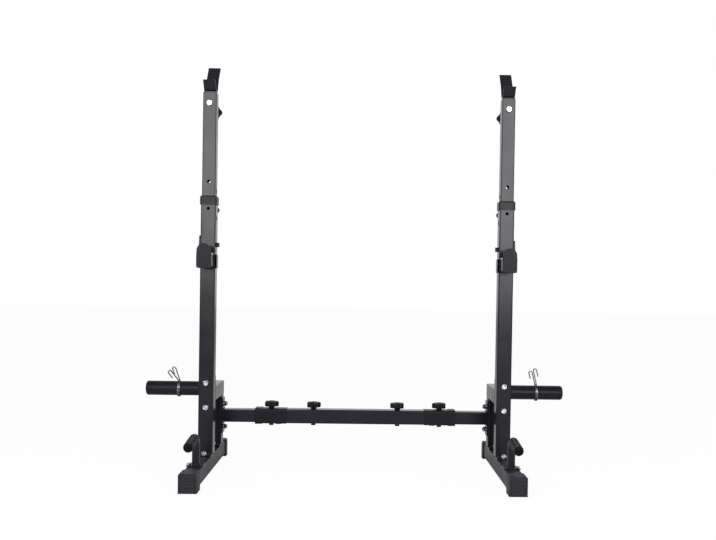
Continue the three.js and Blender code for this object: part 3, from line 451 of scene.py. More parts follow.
# %% [markdown]
# ## Where the pieces are
# The towers mirror each other, so each piece is worked out once, for the right tower, in
# millimetres from the tower's own axis: x away from the crossbar, y to the back, z up. The
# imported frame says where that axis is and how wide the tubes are.

# %% Read the frame
def low(name):
    """The lowest corner of a CAD node's bounding box, in millimetres."""
    return np.array(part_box(name)[0]) / mm


def high(name):
    """The highest corner of a CAD node's bounding box."""
    return np.array(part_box(name)[1]) / mm


def middle(name):
    """The middle of a CAD node's bounding box."""
    return (low(name) + high(name)) / 2


def size(name):
    """The three sizes of a CAD node's bounding box."""
    return high(name) - low(name)


tower = middle("height_tube_right") * np.array([1, 1, 0])
centre_line = np.array([0, tower[1], 0])
frame_tube = size("base_tube_right")[0]
inner_tube = size("height_tube_right")[0]
base_low = low("base_tube_right") - tower
base_high = high("base_tube_right") - tower
base_top = base_high[2]
upright_top = high("upright_right")[2]
height_tube_low = low("height_tube_right")[2]
height_tube_top = high("height_tube_right")[2]
half_frame = frame_tube / 2
half_inner = inner_tube / 2
seat_gap = 0.3
frame_face = half_frame + seat_gap
frame_fit = frame_tube + 2 * seat_gap
sides = [("right", 1), ("left", -1)]
slot_of = {entry["node"]: entry["material_slot"] for entry in frame["record"]["subparts"]}
body_of = {name: body for body, names in frame["record"]["behaviour"]["bodies"].items() for name in names}
print("tower axis", tower.round(2), "tubes", frame_tube.round(2), inner_tube.round(2))

# %% [markdown]
# ## Skins
# Nearly everything here is a row of rings with a skin over them: a tube is its outline
# carried along its length, a bolt is a ring that changes its radius, a weld is a small ring
# carried round a joint. A ring is an array of points, so a whole skin is one array.

# %% Outlines and skins
corner_steps = 6
flat_support = 0.6
least_corner = 0.4
round_sides = 48
tube_lip = 0.5
bar_edge = 0.8
drill_overrun = 3.0


def rounded_rectangle(width, height, corner, inset=0.0):
    """Quarter circles about the four corners' centres, with a point just along each flat to keep it flat."""
    radius = max(corner - inset, least_corner)
    quarter = np.linspace(0, np.pi / 2, corner_steps + 1)
    angle = quarter + np.pi / 2 * np.arange(4)[:, None]
    spoke = np.stack([np.cos(angle), np.sin(angle)], -1)
    heading = np.stack([-np.sin(angle), np.cos(angle)], -1)
    reach = np.array([width / 2 - inset - radius, height / 2 - inset - radius])
    centre = reach * np.array([[1, 1], [-1, 1], [-1, -1], [1, -1]])
    arc = centre[:, None] + radius * spoke
    support = min(flat_support, reach.min() / 2)
    before = arc[:, :1] - support * heading[:, :1]
    after = arc[:, -1:] + support * heading[:, -1:]
    return np.concatenate([before, arc, after], 1).reshape(-1, 2)


def full_turn(sides):
    """The angles of points spread evenly round a full turn."""
    return 2 * np.pi * np.arange(sides) / sides


def circle(radius, sides=round_sides):
    """Points spread evenly round a circle."""
    angle = full_turn(sides)
    return radius * np.stack([np.cos(angle), np.sin(angle)], -1)


def at_height(outline, height):
    """A flat outline as a ring at a height."""
    return np.column_stack([outline, np.full(len(outline), height)])


def skin(rings, loop=False):
    """Four-sided faces between neighbouring rings. The ends are closed, or joined to each other in a loop."""
    rings = np.asarray(rings, float)
    count, around = rings.shape[:2]
    index = np.arange(count * around).reshape(count, around)
    here = index if loop else index[:-1]
    ahead = np.roll(index, -1, axis=0) if loop else index[1:]
    faces = np.stack([here, np.roll(here, -1, axis=1), np.roll(ahead, -1, axis=1), ahead], -1)
    faces = faces.reshape(-1, 4).tolist()
    if not loop:
        faces += [index[0][::-1].tolist(), index[-1].tolist()]
    return rings.reshape(-1, 3), faces


turn_orders = {
    "+x": ([2, 1, 0], (1, 1, -1)),
    "-x": ([2, 1, 0], (-1, 1, 1)),
    "+y": ([0, 2, 1], (1, 1, -1)),
    "-y": ([0, 2, 1], (1, -1, 1)),
    "+z": ([0, 1, 2], (1, 1, 1)),
    "-z": ([0, 1, 2], (1, -1, -1)),
}


def unit(vectors):
    """Vectors scaled to length 1."""
    return vectors / np.linalg.norm(vectors, axis=-1, keepdims=True)


def along(axis, shell, x=0.0, y=0.0, z=0.0):
    """A shell made up the z axis, turned to run along another axis and moved. No turn mirrors it."""
    order, sign = turn_orders[axis]
    points, faces = shell
    return points[:, order] * np.array(sign) + np.array([x, y, z]), faces


def carried(outline_at, section, loop=False):
    """A skin over an outline at each (inset, height) of a section."""
    return skin([at_height(outline_at(inset), height) for inset, height in section], loop)


def squares(rows, loop=False):
    """A skin over rounded squares, one for each (width, corner, height)."""
    return skin([at_height(rounded_rectangle(width, width, corner), height)
                 for width, corner, height in rows], loop)


def spun(angle, radius, heights):
    """A skin over rings given by their radius at each angle, one ring for each height."""
    height = np.broadcast_to(np.asarray(heights, float)[:, None], np.shape(radius))
    return skin(np.stack([radius * np.cos(angle), radius * np.sin(angle), height], -1))


def slab(outline, start, end):
    """An outline carried straight from one height to another."""
    return skin([at_height(outline, start), at_height(outline, end)])


def square_tube(width, wall, corner, start, end, lip=tube_lip):
    """The section of the wall, a long thin rectangle with eased corners, carried round the tube."""
    section = [(0, start + lip), (0, end - lip), (lip, end), (wall - lip, end),
               (wall, end - lip), (wall, start + lip), (wall - lip, start), (lip, start)]
    return carried(lambda inset: rounded_rectangle(width, width, corner, inset), section, loop=True)


def eased_bar(width, height, corner, start, end, edge=bar_edge):
    """A solid bar or plate whose end faces have eased edges."""
    section = [(edge, start), (0, start + edge), (0, end - edge), (edge, end)]
    return carried(lambda inset: rounded_rectangle(width, height, corner, inset), section)


def turned(profile, loop=False):
    """A lathe shape: circles at each (radius, height)."""
    return carried(circle, profile, loop)


def rounding(radius, steps):
    """The (inset, drop) pairs of a quarter circle, from the side of a shape over to its end face."""
    return [(radius * (1 - math.cos(turn)), radius * (1 - math.sin(turn)))
            for turn in np.linspace(0, np.pi / 2, steps + 1)]


def drill(axis, diameter, depth, x, y, z):
    """A drill for a hole, which sticks out at both of its ends."""
    radius = diameter / 2
    return along(axis, turned([(radius, -drill_overrun), (radius, depth + drill_overrun)]), x, y, z)


print("a rounded square has", len(rounded_rectangle(frame_tube, frame_tube, least_corner)), "points")

# %% [markdown]
# ## Meshes
# Holes are cut by one Boolean modifier with all the drills together, and a Bevel modifier
# eases the sharp edges that this leaves. Both are baked into the mesh, so that the finished
# object carries no live modifier. The left-hand copy is the mirror image, with its faces
# turned round again so that they point outwards.

# %% Meshes and placing
sharp_angle = math.radians(20)
edge_angle = math.radians(50)
edge_segments = 2
hole_edge = 0.4


def mesh_of(*shells):
    """One mesh of several closed shells."""
    mesh = bpy.data.meshes.new("shape")
    starts = np.cumsum([0] + [len(points) for points, faces in shells])
    numbered = [[corner + start for corner in face]
                for (points, faces), start in zip(shells, starts) for face in faces]
    mesh.from_pydata(np.concatenate([points for points, faces in shells]).tolist(), [], numbered)
    return mesh


def baked(mesh, drills=(), edge=0.0):
    """The mesh with its holes cut and the new edges eased."""
    work = bpy.data.objects.new("work", mesh)
    scene.collection.objects.link(work)
    helpers = [work]
    if drills:
        tool = bpy.data.objects.new("drills", mesh_of(*drills))
        scene.collection.objects.link(tool)
        helpers.append(tool)
        boolean = work.modifiers.new("cut", "BOOLEAN")
        boolean.operation = "DIFFERENCE"
        boolean.solver = "EXACT"
        boolean.object = tool
    if edge:
        bevel = work.modifiers.new("edge", "BEVEL")
        bevel.width = edge
        bevel.segments = edge_segments
        bevel.limit_method = "ANGLE"
        bevel.angle_limit = edge_angle
    bpy.context.view_layer.update()
    finished = bpy.data.meshes.new_from_object(work.evaluated_get(bpy.context.evaluated_depsgraph_get()))
    for helper in helpers:
        bpy.data.objects.remove(helper)
    return finished


def gathered(*meshes):
    """Several meshes as one."""
    whole = bmesh.new()
    for mesh in meshes:
        whole.from_mesh(mesh)
    joined = bpy.data.meshes.new("shape")
    whole.to_mesh(joined)
    whole.free()
    return joined


def reshaped(mesh, change):
    """A copy of a mesh with a change made to the array of its points."""
    copy = mesh.copy()
    points = np.empty(3 * len(copy.vertices))
    copy.vertices.foreach_get("co", points)
    copy.vertices.foreach_set("co", change(points.reshape(-1, 3)).ravel())
    return copy


def placed(name, mesh, origin, sign, node_name, replace=True):
    """A finished object for one side, riding on its CAD node's body."""
    copy = reshaped(mesh, lambda points: (points + origin) * np.array([sign, 1, 1]) * mm)
    if sign < 0:
        copy.flip_normals()
    copy.shade_smooth()
    copy.set_sharp_from_angle(angle=sharp_angle)
    copy.update()
    piece = bpy.data.objects.new(name, copy)
    scene.collection.objects.link(piece)
    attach(piece, body_of[node_name])
    if replace:
        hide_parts(node_name)
    return piece


def finish(piece, slot, coat=None):
    """The piece's material: the finish of its slot, or a coat of its own in that slot."""
    piece.data.materials.clear()
    piece.data.materials.append(finishes[coat or slot])


def both_sides(label, mesh, origin=tower, extra=None, slot=None, coat=None):
    """The piece and its mirror image. An extra is a further piece on the same body, in its own slot."""
    for side, sign in sides:
        node_name = f"{label}_{side}"
        name = f"{side}_{label}_{extra}" if extra else f"{side}_{label}"
        piece = placed(name, mesh, origin, sign, node_name, replace=not extra)
        finish(piece, slot or slot_of[node_name], coat)
    print(label, extra or "", len(mesh.polygons), "faces")


# %% [markdown]
# ## Welds
# A real frame like this is welded, and a bead shows at every joint. A bead is a small circle
# carried along the joint whose radius ripples, once for each step of the welder's hand.

# %% Weld beads
bead_radius = 1.9
bead_ripple = 0.13
bead_pitch = 2.4
bead_step = 0.8
bead_sides = 8
least_bead_steps = 8
bead_end_power = 12
bead_end_least = 0.05
up = (0, 0, 1)
to_back = (0, 1, 0)


def weld(path, lift, closed=True, radius=bead_radius):
    """Circles along a path, set out by the path's side and the lift direction, with a rippled radius."""
    path = np.asarray(path, float)
    if closed:
        path = np.vstack([path, path[:1]])
    travelled = np.concatenate([[0], np.cumsum(np.linalg.norm(np.diff(path, axis=0), axis=1))])
    length = travelled[-1]
    place = np.linspace(0, length, max(int(length / bead_step), least_bead_steps), endpoint=not closed)
    line = np.stack([np.interp(place, travelled, path[:, k]) for k in range(3)], -1)
    ahead = np.roll(line, -1, axis=0) - np.roll(line, 1, axis=0) if closed else np.gradient(line, axis=0)
    lift = np.asarray(lift, float)
    side = np.cross(unit(ahead), lift)
    waves = max(round(length / bead_pitch), 1)
    width = radius * (1 + bead_ripple * np.cos(2 * np.pi * waves * place / length))
    if not closed:
        from_middle = np.abs(2 * place / length - 1)
        width = width * np.sqrt(np.clip(1 - from_middle ** bead_end_power, bead_end_least, 1))
    angle = full_turn(bead_sides)
    spoke = side[:, None] * np.cos(angle)[None, :, None] - lift * np.sin(angle)[None, :, None]
    return skin(line[:, None] + width[:, None, None] * spoke, loop=closed)


def weld_round(outline, axis, x=0.0, y=0.0, z=0.0, radius=bead_radius):
    """A bead all round an outline that lies across an axis."""
    return along(axis, weld(at_height(outline, 0), up, radius=radius), x, y, z)


def weld_across(half_width, y, z, lift=up, radius=bead_radius):
    """A straight bead from one side of the tower's middle to the other."""
    return weld([(-half_width, y, z), (half_width, y, z)], lift, closed=False, radius=radius)


print("bead every", bead_pitch, "mm")

# %% [markdown]
# ## Bolts, nuts and washers
# A hexagon's flat is nearer its middle than its corner is, so its outline is one formula of
# the angle. Cutting it with a cone, by taking the smaller of the two radii, gives the curved
# chamfer that every real bolt head has. A thread is a radius that rises and falls with the
# height and the angle together.

# %% Fastener shapes
bolt_diameter = 10
bolt_across = 16
bolt_head_height = 6.5
nut_height = 8
washer_diameter = 18
washer_thickness = 2
washer_edge = 0.35
domed_head = [(6, -4), (8, -3.4), (washer_diameter / 2, -1.6), (washer_diameter / 2, 0)]
bolt_tail = 3
plate_thickness = 4
thread_pitch = 1.5
thread_depth = 0.5
thread_steps = 6
rod_sides = 24
hex_sides = 72
chamfer_rise = 1.6
chamfer_steps = 6
chamfer_slope = math.tan(math.radians(60))
face_share = 0.95


def hex_reach(angle, across):
    """How far the flats of a hexagon are from its middle at each angle."""
    sixth = np.pi / 3
    return across / 2 / np.cos((angle + sixth / 2) % sixth - sixth / 2)


def hex_block(across, start, end, chamfer_start=False, chamfer_end=True):
    """A hexagon prism whose radius is also held inside a cone near each chamfered face."""
    angle = full_turn(hex_sides)
    near = np.linspace(0, chamfer_rise, chamfer_steps + 1)
    heights = np.unique(np.concatenate([start + near, end - near]))
    cone = np.full(len(heights), np.inf)
    face = across / 2 * face_share
    if chamfer_end:
        cone = np.minimum(cone, face + (end - heights) * chamfer_slope)
    if chamfer_start:
        cone = np.minimum(cone, face + (heights - start) * chamfer_slope)
    return spun(angle, np.minimum(hex_reach(angle, across), cone[:, None]), heights)


def threaded_rod(diameter, start, end):
    """The radius dips by the thread's depth once a pitch, later at each angle, and tapers at the end."""
    angle = full_turn(rod_sides)
    heights = np.linspace(start, end, max(int((end - start) / thread_pitch * thread_steps), thread_steps))
    phase = heights[:, None] / thread_pitch - angle / (2 * np.pi)
    dip = thread_depth * np.abs(2 * (phase % 1) - 1)
    taper = np.clip(1 - (end - heights) / thread_depth, 0, 1)[:, None] * thread_depth
    return spun(angle, diameter / 2 - np.maximum(dip, taper), heights)


def washer(start):
    """A round washer with eased rims, from its lower face."""
    radius = washer_diameter / 2
    rim = radius - washer_edge
    end = start + washer_thickness
    return turned([(rim, start), (radius, start + washer_edge), (radius, end - washer_edge), (rim, end)])


def through_bolt(grip):
    """Head, washer, shank, washer, nut and the threaded tail, along +Z with the clamped stack from z = 0."""
    top = grip + washer_thickness
    head = along("-z", hex_block(bolt_across, washer_thickness, washer_thickness + bolt_head_height))
    shank = turned([(bolt_diameter / 2, -washer_thickness), (bolt_diameter / 2, top)])
    nut = hex_block(bolt_across, top, top + nut_height, chamfer_start=True)
    tail = threaded_rod(bolt_diameter, top + nut_height / 2, top + nut_height + bolt_tail)
    return [head, washer(-washer_thickness), shank, washer(grip), nut, tail]


def group_along(axis, shells, x=0.0, y=0.0, z=0.0):
    """Several shells, all turned and moved alike."""
    return [along(axis, shell, x, y, z) for shell in shells]


brace_height = 260
brace_bolt_reach = 41
post_reach = 200
crossbar_height = 163.5
post_foot_bolt = 157
front_foot_bolt = -45
clamped = frame_tube + plate_thickness + 3 * seat_gap
bolt = through_bolt(clamped)
for label, rise in [("lower", -brace_bolt_reach), ("upper", brace_bolt_reach)]:
    flange_bolt = group_along("-x", bolt, frame_face, post_reach, crossbar_height + rise)
    brace_bolt = group_along("+y", bolt, 0, -frame_face, brace_height + rise)
    both_sides(f"brace_bolt_{label}", mesh_of(*brace_bolt))
    both_sides(f"flange_bolt_{label}", mesh_of(*flange_bolt))

foot_bolt = [turned(domed_head), *bolt[2:]]
for label, place in [("front", front_foot_bolt), ("back", post_foot_bolt)]:
    both_sides(f"foot_bolt_{label}", mesh_of(*group_along("+z", foot_bolt, 0, place, base_low[2] - seat_gap)))

# %% Bolts of the cradle and the handle
cradle_bolt_drop = 36
cradle_shank_wall = 3
height_tube_wall = 1.5
handle_reach = 204
handle_bolt_out = 19
handle_bolt_forward = 18
small_bolt_across = 13
small_bolt_head = 5.5
small_bolt_diameter = 8
small_bolt_length = 16

tail = height_tube_wall + cradle_shank_wall + washer_thickness + 2 * seat_gap + bolt_tail
face = -half_inner - seat_gap - washer_thickness
cradle_bolt = [
    along("-z", hex_block(bolt_across, 0, bolt_head_height)),
    washer(0),
    threaded_rod(bolt_diameter, 0, tail),
]
both_sides("cradle_bolt", mesh_of(*group_along("+y", cradle_bolt, 0, face, height_tube_top - cradle_bolt_drop)))

handle_plate_top = base_top + 2 * seat_gap + plate_thickness
handle_bolt = [
    along("-z", hex_block(small_bolt_across, 0, small_bolt_head)),
    threaded_rod(small_bolt_diameter, 0, small_bolt_length),
]
handle_bolt_place = (handle_bolt_out, -handle_reach - handle_bolt_forward, handle_plate_top)
both_sides("handle_bolt", mesh_of(*group_along("-z", handle_bolt, *handle_bolt_place)))

# %% [markdown]
# ## Base and its rubber shoes
# The base is a plain square tube, and each end sits in a moulded rubber shoe. The shoe's
# rings run from the floor of its pocket out to the mouth, over the lip and back along the
# outside, so the pocket and the outside are one skin. The front face has ribs across it
# inside a raised border, so that a toe grips it, and grooves cut by a Boolean leave them.

# %% Base tubes and shoes
tube_wall = 2
tube_corner = 4
foot_wall = 3.2
foot_face = 5
foot_corner = 7
foot_edge = 2.4
foot_lip = 0.8
foot_border = 8
foot_ribs = 5
foot_rib_depth = 1.5
groove_out = 3.4
groove_width = 2.2
groove_depth = 2.0
corners_in_sole = 2.2
sole_corner = foot_wall / corners_in_sole
sole_edge = 1.0


def frame_length(start, end):
    """A length of the tube that the frame is made of."""
    return square_tube(frame_tube, tube_wall, tube_corner, start, end)


def shoe(length, width, height):
    """Rings of the pocket, the lip and the outside, for a shoe whose closed face is at y = 0."""
    lift = base_low[2] + half_frame - height / 2
    inner = rounded_rectangle(frame_fit, frame_fit, tube_corner) + np.array([0, lift])
    outside = [(foot_lip, -length), (0, -length + foot_lip)]
    outside += [(inset, -drop) for inset, drop in rounding(foot_edge, steps=4)]
    rings = [at_height(inner, -foot_face), at_height(inner, -length)]
    rings += [at_height(rounded_rectangle(width, height, foot_corner, inset), place)
              for inset, place in outside]
    return along("-y", skin(rings), 0, 0, height / 2)


def sole(length, width):
    """The pad under the shoe, a little wider than the shoe, with softly rounded sides."""
    return along("-y", eased_bar(width, foot_wall, sole_corner, -length, 0, sole_edge), 0, 0, foot_wall / 2)


def rib_grooves(height):
    """The spaces between the ribs, as bars that reach from in front of the face to the grooves' floor."""
    panel_width = foot_width - 2 * foot_border
    pitch = (height - 2 * foot_border) / (2 * foot_ribs - 1)
    rises = [foot_border + pitch * (2 * number + 1.5) for number in range(foot_ribs - 1)]
    bar = eased_bar(panel_width, pitch, pitch / 3, -foot_rib_depth, foot_rib_depth)
    return [along("-y", bar, 0, 0, rise) for rise in rises]


def panel_groove(height):
    """A narrow channel all round the ribbed panel, a thin section carried round the panel's outline."""
    width = foot_width - 2 * foot_border + 2 * groove_out
    rise = height - 2 * foot_border + 2 * groove_out
    corner = foot_corner - groove_width
    section = [(0, -groove_depth), (0, groove_depth),
               (groove_width, groove_depth), (groove_width, -groove_depth)]
    ring = carried(lambda inset: rounded_rectangle(width, rise, corner, inset), section, loop=True)
    return along("-y", ring, 0, 0, height / 2)


base = along("+y", frame_length(base_low[1], base_high[1]), 0, 0, (base_low[2] + base_high[2]) / 2)
both_sides("base_tube", mesh_of(base), coat="dull_paint")

foot_low = low("front_foot_right") - tower
foot_high = high("front_foot_right") - tower
foot_height = foot_high[2] - foot_low[2]
foot_width = frame_tube + 2 * foot_wall + 2 * seat_gap
sole_width = foot_high[0] - foot_low[0]
front_length = foot_high[1] - foot_low[1]
face_cuts = [*rib_grooves(foot_height), panel_groove(foot_height)]
front_shoe = baked(mesh_of(shoe(front_length, foot_width, foot_height)), face_cuts, hole_edge)
front_foot = gathered(front_shoe, mesh_of(sole(front_length, sole_width)))
front_place = np.array([0, foot_low[1], 0])
both_sides("front_foot", reshaped(front_foot, lambda points: points + front_place))

back_low = low("back_foot_right") - tower
back_high = high("back_foot_right") - tower
back_length = back_high[1] - back_low[1]
back_shoe = mesh_of(shoe(back_length, foot_width, foot_height), sole(back_length, sole_width))
half_turn = np.array([-1, -1, 1])
back_place = np.array([0, back_high[1], 0])
both_sides("back_foot", reshaped(back_shoe, lambda points: points * half_turn + back_place))

# %% [markdown]
# ## Upright
# One weldment: the tube, its foot plate, the nut that the height knob screws into and the
# round peg for plates. The holes are drilled through the tube alone, before the other parts
# are gathered with it, as they are in the shop. Beads of weld run across the foot plate in
# front and behind, round the peg and round the nut. The peg has a duller coat, so it is a
# piece of its own.

# %% Uprights
peg_diameter = 48
peg_wall = 2.5
peg_edge = 0.5
peg_length = 163
peg_height = 280
foot_plate_front = 36
foot_plate_back = 10
lock_height = 886
lock_nut_diameter = 20
lock_nut_length = 12
lock_nut_edge = 0.8
lock_nut_bead = 1.4
sight_hole = 10
hole_pitch = 90
hook_pin_height = 765
hook_pin_diameter = 16

tube_foot = base_top + seat_gap
bead_height = tube_foot + plate_thickness
pin_hole = hook_pin_diameter + 2 * seat_gap
holes = [drill("+x", pin_hole, frame_tube, -half_frame, 0, hook_pin_height + step * hole_pitch)
         for step in (0, 1)]
holes.append(drill("-y", sight_hole, tube_wall, 0, -half_frame + tube_wall, lock_height))
upright_tube = baked(mesh_of(frame_length(tube_foot, upright_top)), holes, hole_edge)


def base_plate(width, length, corner, y):
    """A plate that lies on the base tube, with its middle at y."""
    return along("+z", eased_bar(width, length, corner, tube_foot, bead_height), 0, y, 0)


plate_length = frame_tube + foot_plate_front + foot_plate_back
foot_plate = base_plate(frame_tube, plate_length, tube_corner, (foot_plate_back - foot_plate_front) / 2)
nut_radius = lock_nut_diameter / 2
nut_profile = [(nut_radius, -tube_wall), (nut_radius, lock_nut_length - lock_nut_edge),
               (nut_radius - lock_nut_edge, lock_nut_length)]
lock_nut = along("+y", turned(nut_profile), 0, half_frame, lock_height)
peg_radius = peg_diameter / 2
bore = peg_radius - peg_wall
peg_profile = [(peg_radius, 0), (peg_radius, peg_length - peg_edge), (peg_radius - peg_edge, peg_length),
               (bore, peg_length), (bore, 0)]
peg = along("+x", turned(peg_profile, loop=True), half_frame, 0, peg_height)
weld_half = half_frame - tube_corner / 2
tube_beads = [weld_across(-turn * weld_half, turn * half_frame, bead_height) for turn in (1, -1)]
peg_bead = weld_round(circle(peg_radius), "+x", half_frame, 0, peg_height)
nut_bead = weld_round(circle(nut_radius), "+y", 0, half_frame, lock_height, lock_nut_bead)
upright_parts = mesh_of(foot_plate, lock_nut, *tube_beads, peg_bead, nut_bead)
both_sides("upright", gathered(upright_tube, upright_parts))
both_sides("upright", mesh_of(peg), extra="peg", coat="dull_paint")

# %% [markdown]
# ## Collar and peg cap
# The collar is one loop of rings: up the outside, in over the chamfer, down through the
# mouth that guides the height tube, and back under the skirt. The peg's cap is a lathe
# shape, a dome whose rim is a quarter circle.

# %% Collars and peg caps
collar_wall = 3
collar_height = 30
collar_lip = 3.5
collar_chamfer = 4
collar_edge = 0.6
slide_gap = 0.5
inner_corner = 3
cap_rounding = 8
cap_length = 14
cap_plug = 10
cap_edge = 0.4

collar_top = upright_top + seat_gap + collar_lip
collar_foot = collar_top - collar_height
collar_width = frame_fit + 2 * collar_wall
inner_fit = inner_tube + 2 * slide_gap
collar_rings = [
    (collar_width, tube_corner + collar_wall, collar_foot),
    (collar_width, tube_corner + collar_wall, collar_top - collar_chamfer),
    (collar_width - 2 * collar_chamfer, tube_corner, collar_top),
    (inner_fit, inner_corner, collar_top),
    (inner_fit, inner_corner, collar_top - collar_lip),
    (frame_fit, tube_corner, collar_top - collar_lip),
    (frame_fit, tube_corner, collar_foot),
]
collar = mesh_of(squares(collar_rings, loop=True))
both_sides("upright_collar", baked(collar, edge=collar_edge), coat="collar_plastic")

plug_radius = bore - 2 * seat_gap
cap_profile = [(plug_radius, -cap_plug), (plug_radius, 0), (peg_radius - cap_edge, 0), (peg_radius, cap_edge)]
cap_profile += [(peg_radius - inset, cap_length - drop) for inset, drop in rounding(cap_rounding, steps=8)]
cap_place = half_frame + peg_length + seat_gap
both_sides("peg_cap", mesh_of(along("+x", turned(cap_profile), cap_place, 0, peg_height)))

# %% [markdown]
# ## Height tube
# The tube that slides in the upright. Three holes run from front to back for the lock screw
# and two from side to side for the pin of the hook. One more, in the back near the top, lets
# in the screw of the cradle's knob.

# %% Height tubes
adjust_hole = 12
bolt_hole = 11
height_tube_lip = 0.35
cradle_knob_drop = 48
lock_holes = [drill("+y", adjust_hole, inner_tube, 0, -half_inner, lock_height + step * hole_pitch)
              for step in (-1, 0, 1)]
side_holes = [drill("+x", pin_hole, inner_tube, -half_inner, 0, hook_pin_height + step * hole_pitch)
              for step in (1, 2)]
back_hole = drill("+y", bolt_hole, height_tube_wall, 0, half_inner - height_tube_wall,
                  height_tube_top - cradle_knob_drop)
height_tube = mesh_of(square_tube(inner_tube, height_tube_wall, inner_corner,
                                  height_tube_low, height_tube_top, height_tube_lip))
both_sides("height_tube", baked(height_tube, [*lock_holes, *side_holes, back_hole], hole_edge))

# %% [markdown]
# ## Bar cradle
# A steel strip bent into a cup: low in front and higher behind, where a second bend leans
# it back so that the bar finds its way down. The strip's section, a thin rectangle
# with eased edges, is carried along a path of straights and arcs. It is welded to a cap
# plate, and a square shank below that drops into the height tube.

# %% Bar cradles
cradle_width = 41
cradle_thickness = 4.5
cradle_cap = 3
cradle_floor_depth = 28
front_lip = np.array([-26.0, 31.5])
back_lip = np.array([20.0, 45.0])
back_flare = np.array([41.0, 49.0])
cradle_bend = 12
cradle_bend_steps = 10
cradle_plate_edge = 0.5
shank_length = 76
shank_overlap = 0.2
strip_corner = 0.9
strip_bead = 1.5
strip_bead_inset = 2


def rounded_path(corners, bend, steps):
    """Straights joined by arcs that touch both neighbours, no longer than half of the shorter one."""
    corners = [np.asarray(corner, float) for corner in corners]
    path = [corners[0][None, :]]
    for before, corner, after in zip(corners, corners[1:], corners[2:]):
        back = before - corner
        ahead = after - corner
        room = min(np.linalg.norm(back), np.linalg.norm(ahead)) / 2
        back = unit(back)
        ahead = unit(ahead)
        half_turn = math.acos(float(np.clip(back @ ahead, -1, 1))) / 2
        setback = min(bend / math.tan(half_turn), room)
        radius = setback * math.tan(half_turn)
        inward = unit(back + ahead)
        centre = corner + inward * radius / math.sin(half_turn)
        start = corner + back * setback - centre
        side = inward * radius
        sweep = np.pi - 2 * half_turn
        across = -(start + side * math.cos(sweep / 2)) / math.sin(sweep / 2)
        turn = np.linspace(-sweep / 2, sweep / 2, steps + 1)[:, None]
        path.append(centre - side * np.cos(turn) + across * np.sin(turn))
    path.append(corners[-1][None, :])
    return np.concatenate(path)


def bent_strip(path, width, thickness, corner):
    """The section's points at each place of the path: width along x, thickness along the path's normal."""
    section = rounded_rectangle(width, thickness, corner)
    ahead = unit(np.gradient(path, axis=0))
    normal = np.stack([-ahead[:, 1], ahead[:, 0]], -1)
    level = path[:, None] + normal[:, None] * section[None, :, 1:2]
    across = np.broadcast_to(section[None, :, :1], level.shape[:2] + (1,))
    return skin(np.concatenate([-across, level], -1))


seat = height_tube_top + seat_gap
strip_foot = seat + cradle_cap
strip_level = strip_foot + cradle_thickness / 2
front_corner = np.array([-cradle_floor_depth / 2, strip_level])
back_corner = np.array([cradle_floor_depth / 2, strip_level])
strip_corners = [front_corner + front_lip, front_corner, back_corner, back_corner + back_lip,
                 back_corner + back_lip + back_flare]
strip_path = rounded_path(strip_corners, cradle_bend, cradle_bend_steps)
strip = bent_strip(strip_path, cradle_width, cradle_thickness, strip_corner)
cap_plate = eased_bar(cradle_width, inner_tube, inner_corner, seat, strip_foot, cradle_plate_edge)
shank_width = inner_tube - 2 * height_tube_wall - 2 * seat_gap
shank = square_tube(shank_width, cradle_shank_wall, inner_corner - height_tube_wall,
                    height_tube_top - shank_length, seat + shank_overlap)
bead_half = cradle_width / 2 - strip_bead_inset
strip_beads = [
    weld_across(bead_half, turn * (cradle_floor_depth / 2 - strip_bead_inset), strip_foot, radius=strip_bead)
    for turn in (1, -1)
]
both_sides("bar_cradle", mesh_of(strip, cap_plate, shank, *strip_beads))

# %% [markdown]
# ## Clamping knobs
# A moulded knob with five lobes. Its outline is a circle that dips five times, and the same
# outline goes up the side, over a rounded rim, and then turns gradually into a plain circle
# at the pressed-in cap in the middle. The screw is steel, so it is a piece of its own.

# %% Knobs
knob_radius = 26
knob_height = 19
knob_lobes = 5
knob_lobe_depth = 5
knob_rim = 3.6
knob_hub = 10
knob_hub_height = 6
knob_hub_edge = 0.6
knob_dish = 0.5
knob_blend = 3
knob_blend_share = 0.5
knob_crown = 0.1
knob_cap = 9
knob_cap_rise = 1.5
knob_seam_depth = 0.9
knob_seam_near = 1.2
knob_seam_far = 1.8
knob_sides = 120


def knob():
    """Rings of (share of the lobes, radius without lobes, inset from the lobes, height), in one skin."""
    angle = full_turn(knob_sides)
    lobed = knob_radius - knob_lobe_depth * (1 + np.cos(knob_lobes * angle)) / 2
    under = knob_hub_height
    over = knob_hub_height + knob_height
    top = over + knob_cap_rise
    rim = rounding(knob_rim, steps=5)
    rings = [(0, knob_hub - knob_hub_edge, 0, 0), (0, knob_hub, 0, knob_hub_edge), (0, knob_hub, 0, under)]
    rings += [(1, 0, drop, under + inset) for inset, drop in rim]
    rings += [(1, 0, inset, over - drop - knob_dish) for inset, drop in rim]
    rings += [
        (knob_blend_share, knob_cap + knob_blend, knob_rim + knob_blend, over - knob_crown),
        (0, knob_cap + knob_seam_far, 0, over),
        (0, knob_cap + knob_seam_near, 0, over - knob_seam_depth),
        (0, knob_cap, 0, over - knob_seam_depth),
        (0, knob_cap, 0, top - knob_seam_depth),
        (0, knob_cap - knob_seam_depth, 0, top - knob_crown),
        (0, knob_cap - knob_blend, 0, top),
    ]
    share, plain, inset, height = np.array(rings, float).T[:, :, None]
    return spun(angle, share * (lobed - inset) + (1 - share) * plain, height[:, 0])


def add_knob(label, axis, place, screw_length, origin=tower):
    """A knob and its screw, along an axis from the hub's foot."""
    both_sides(label, mesh_of(along(axis, knob(), *place)), origin)
    screw = along("-z", threaded_rod(bolt_diameter, -knob_rim, screw_length))
    both_sides(label, mesh_of(along(axis, screw, *place)), origin, extra="screw", slot="zinc_fastener")


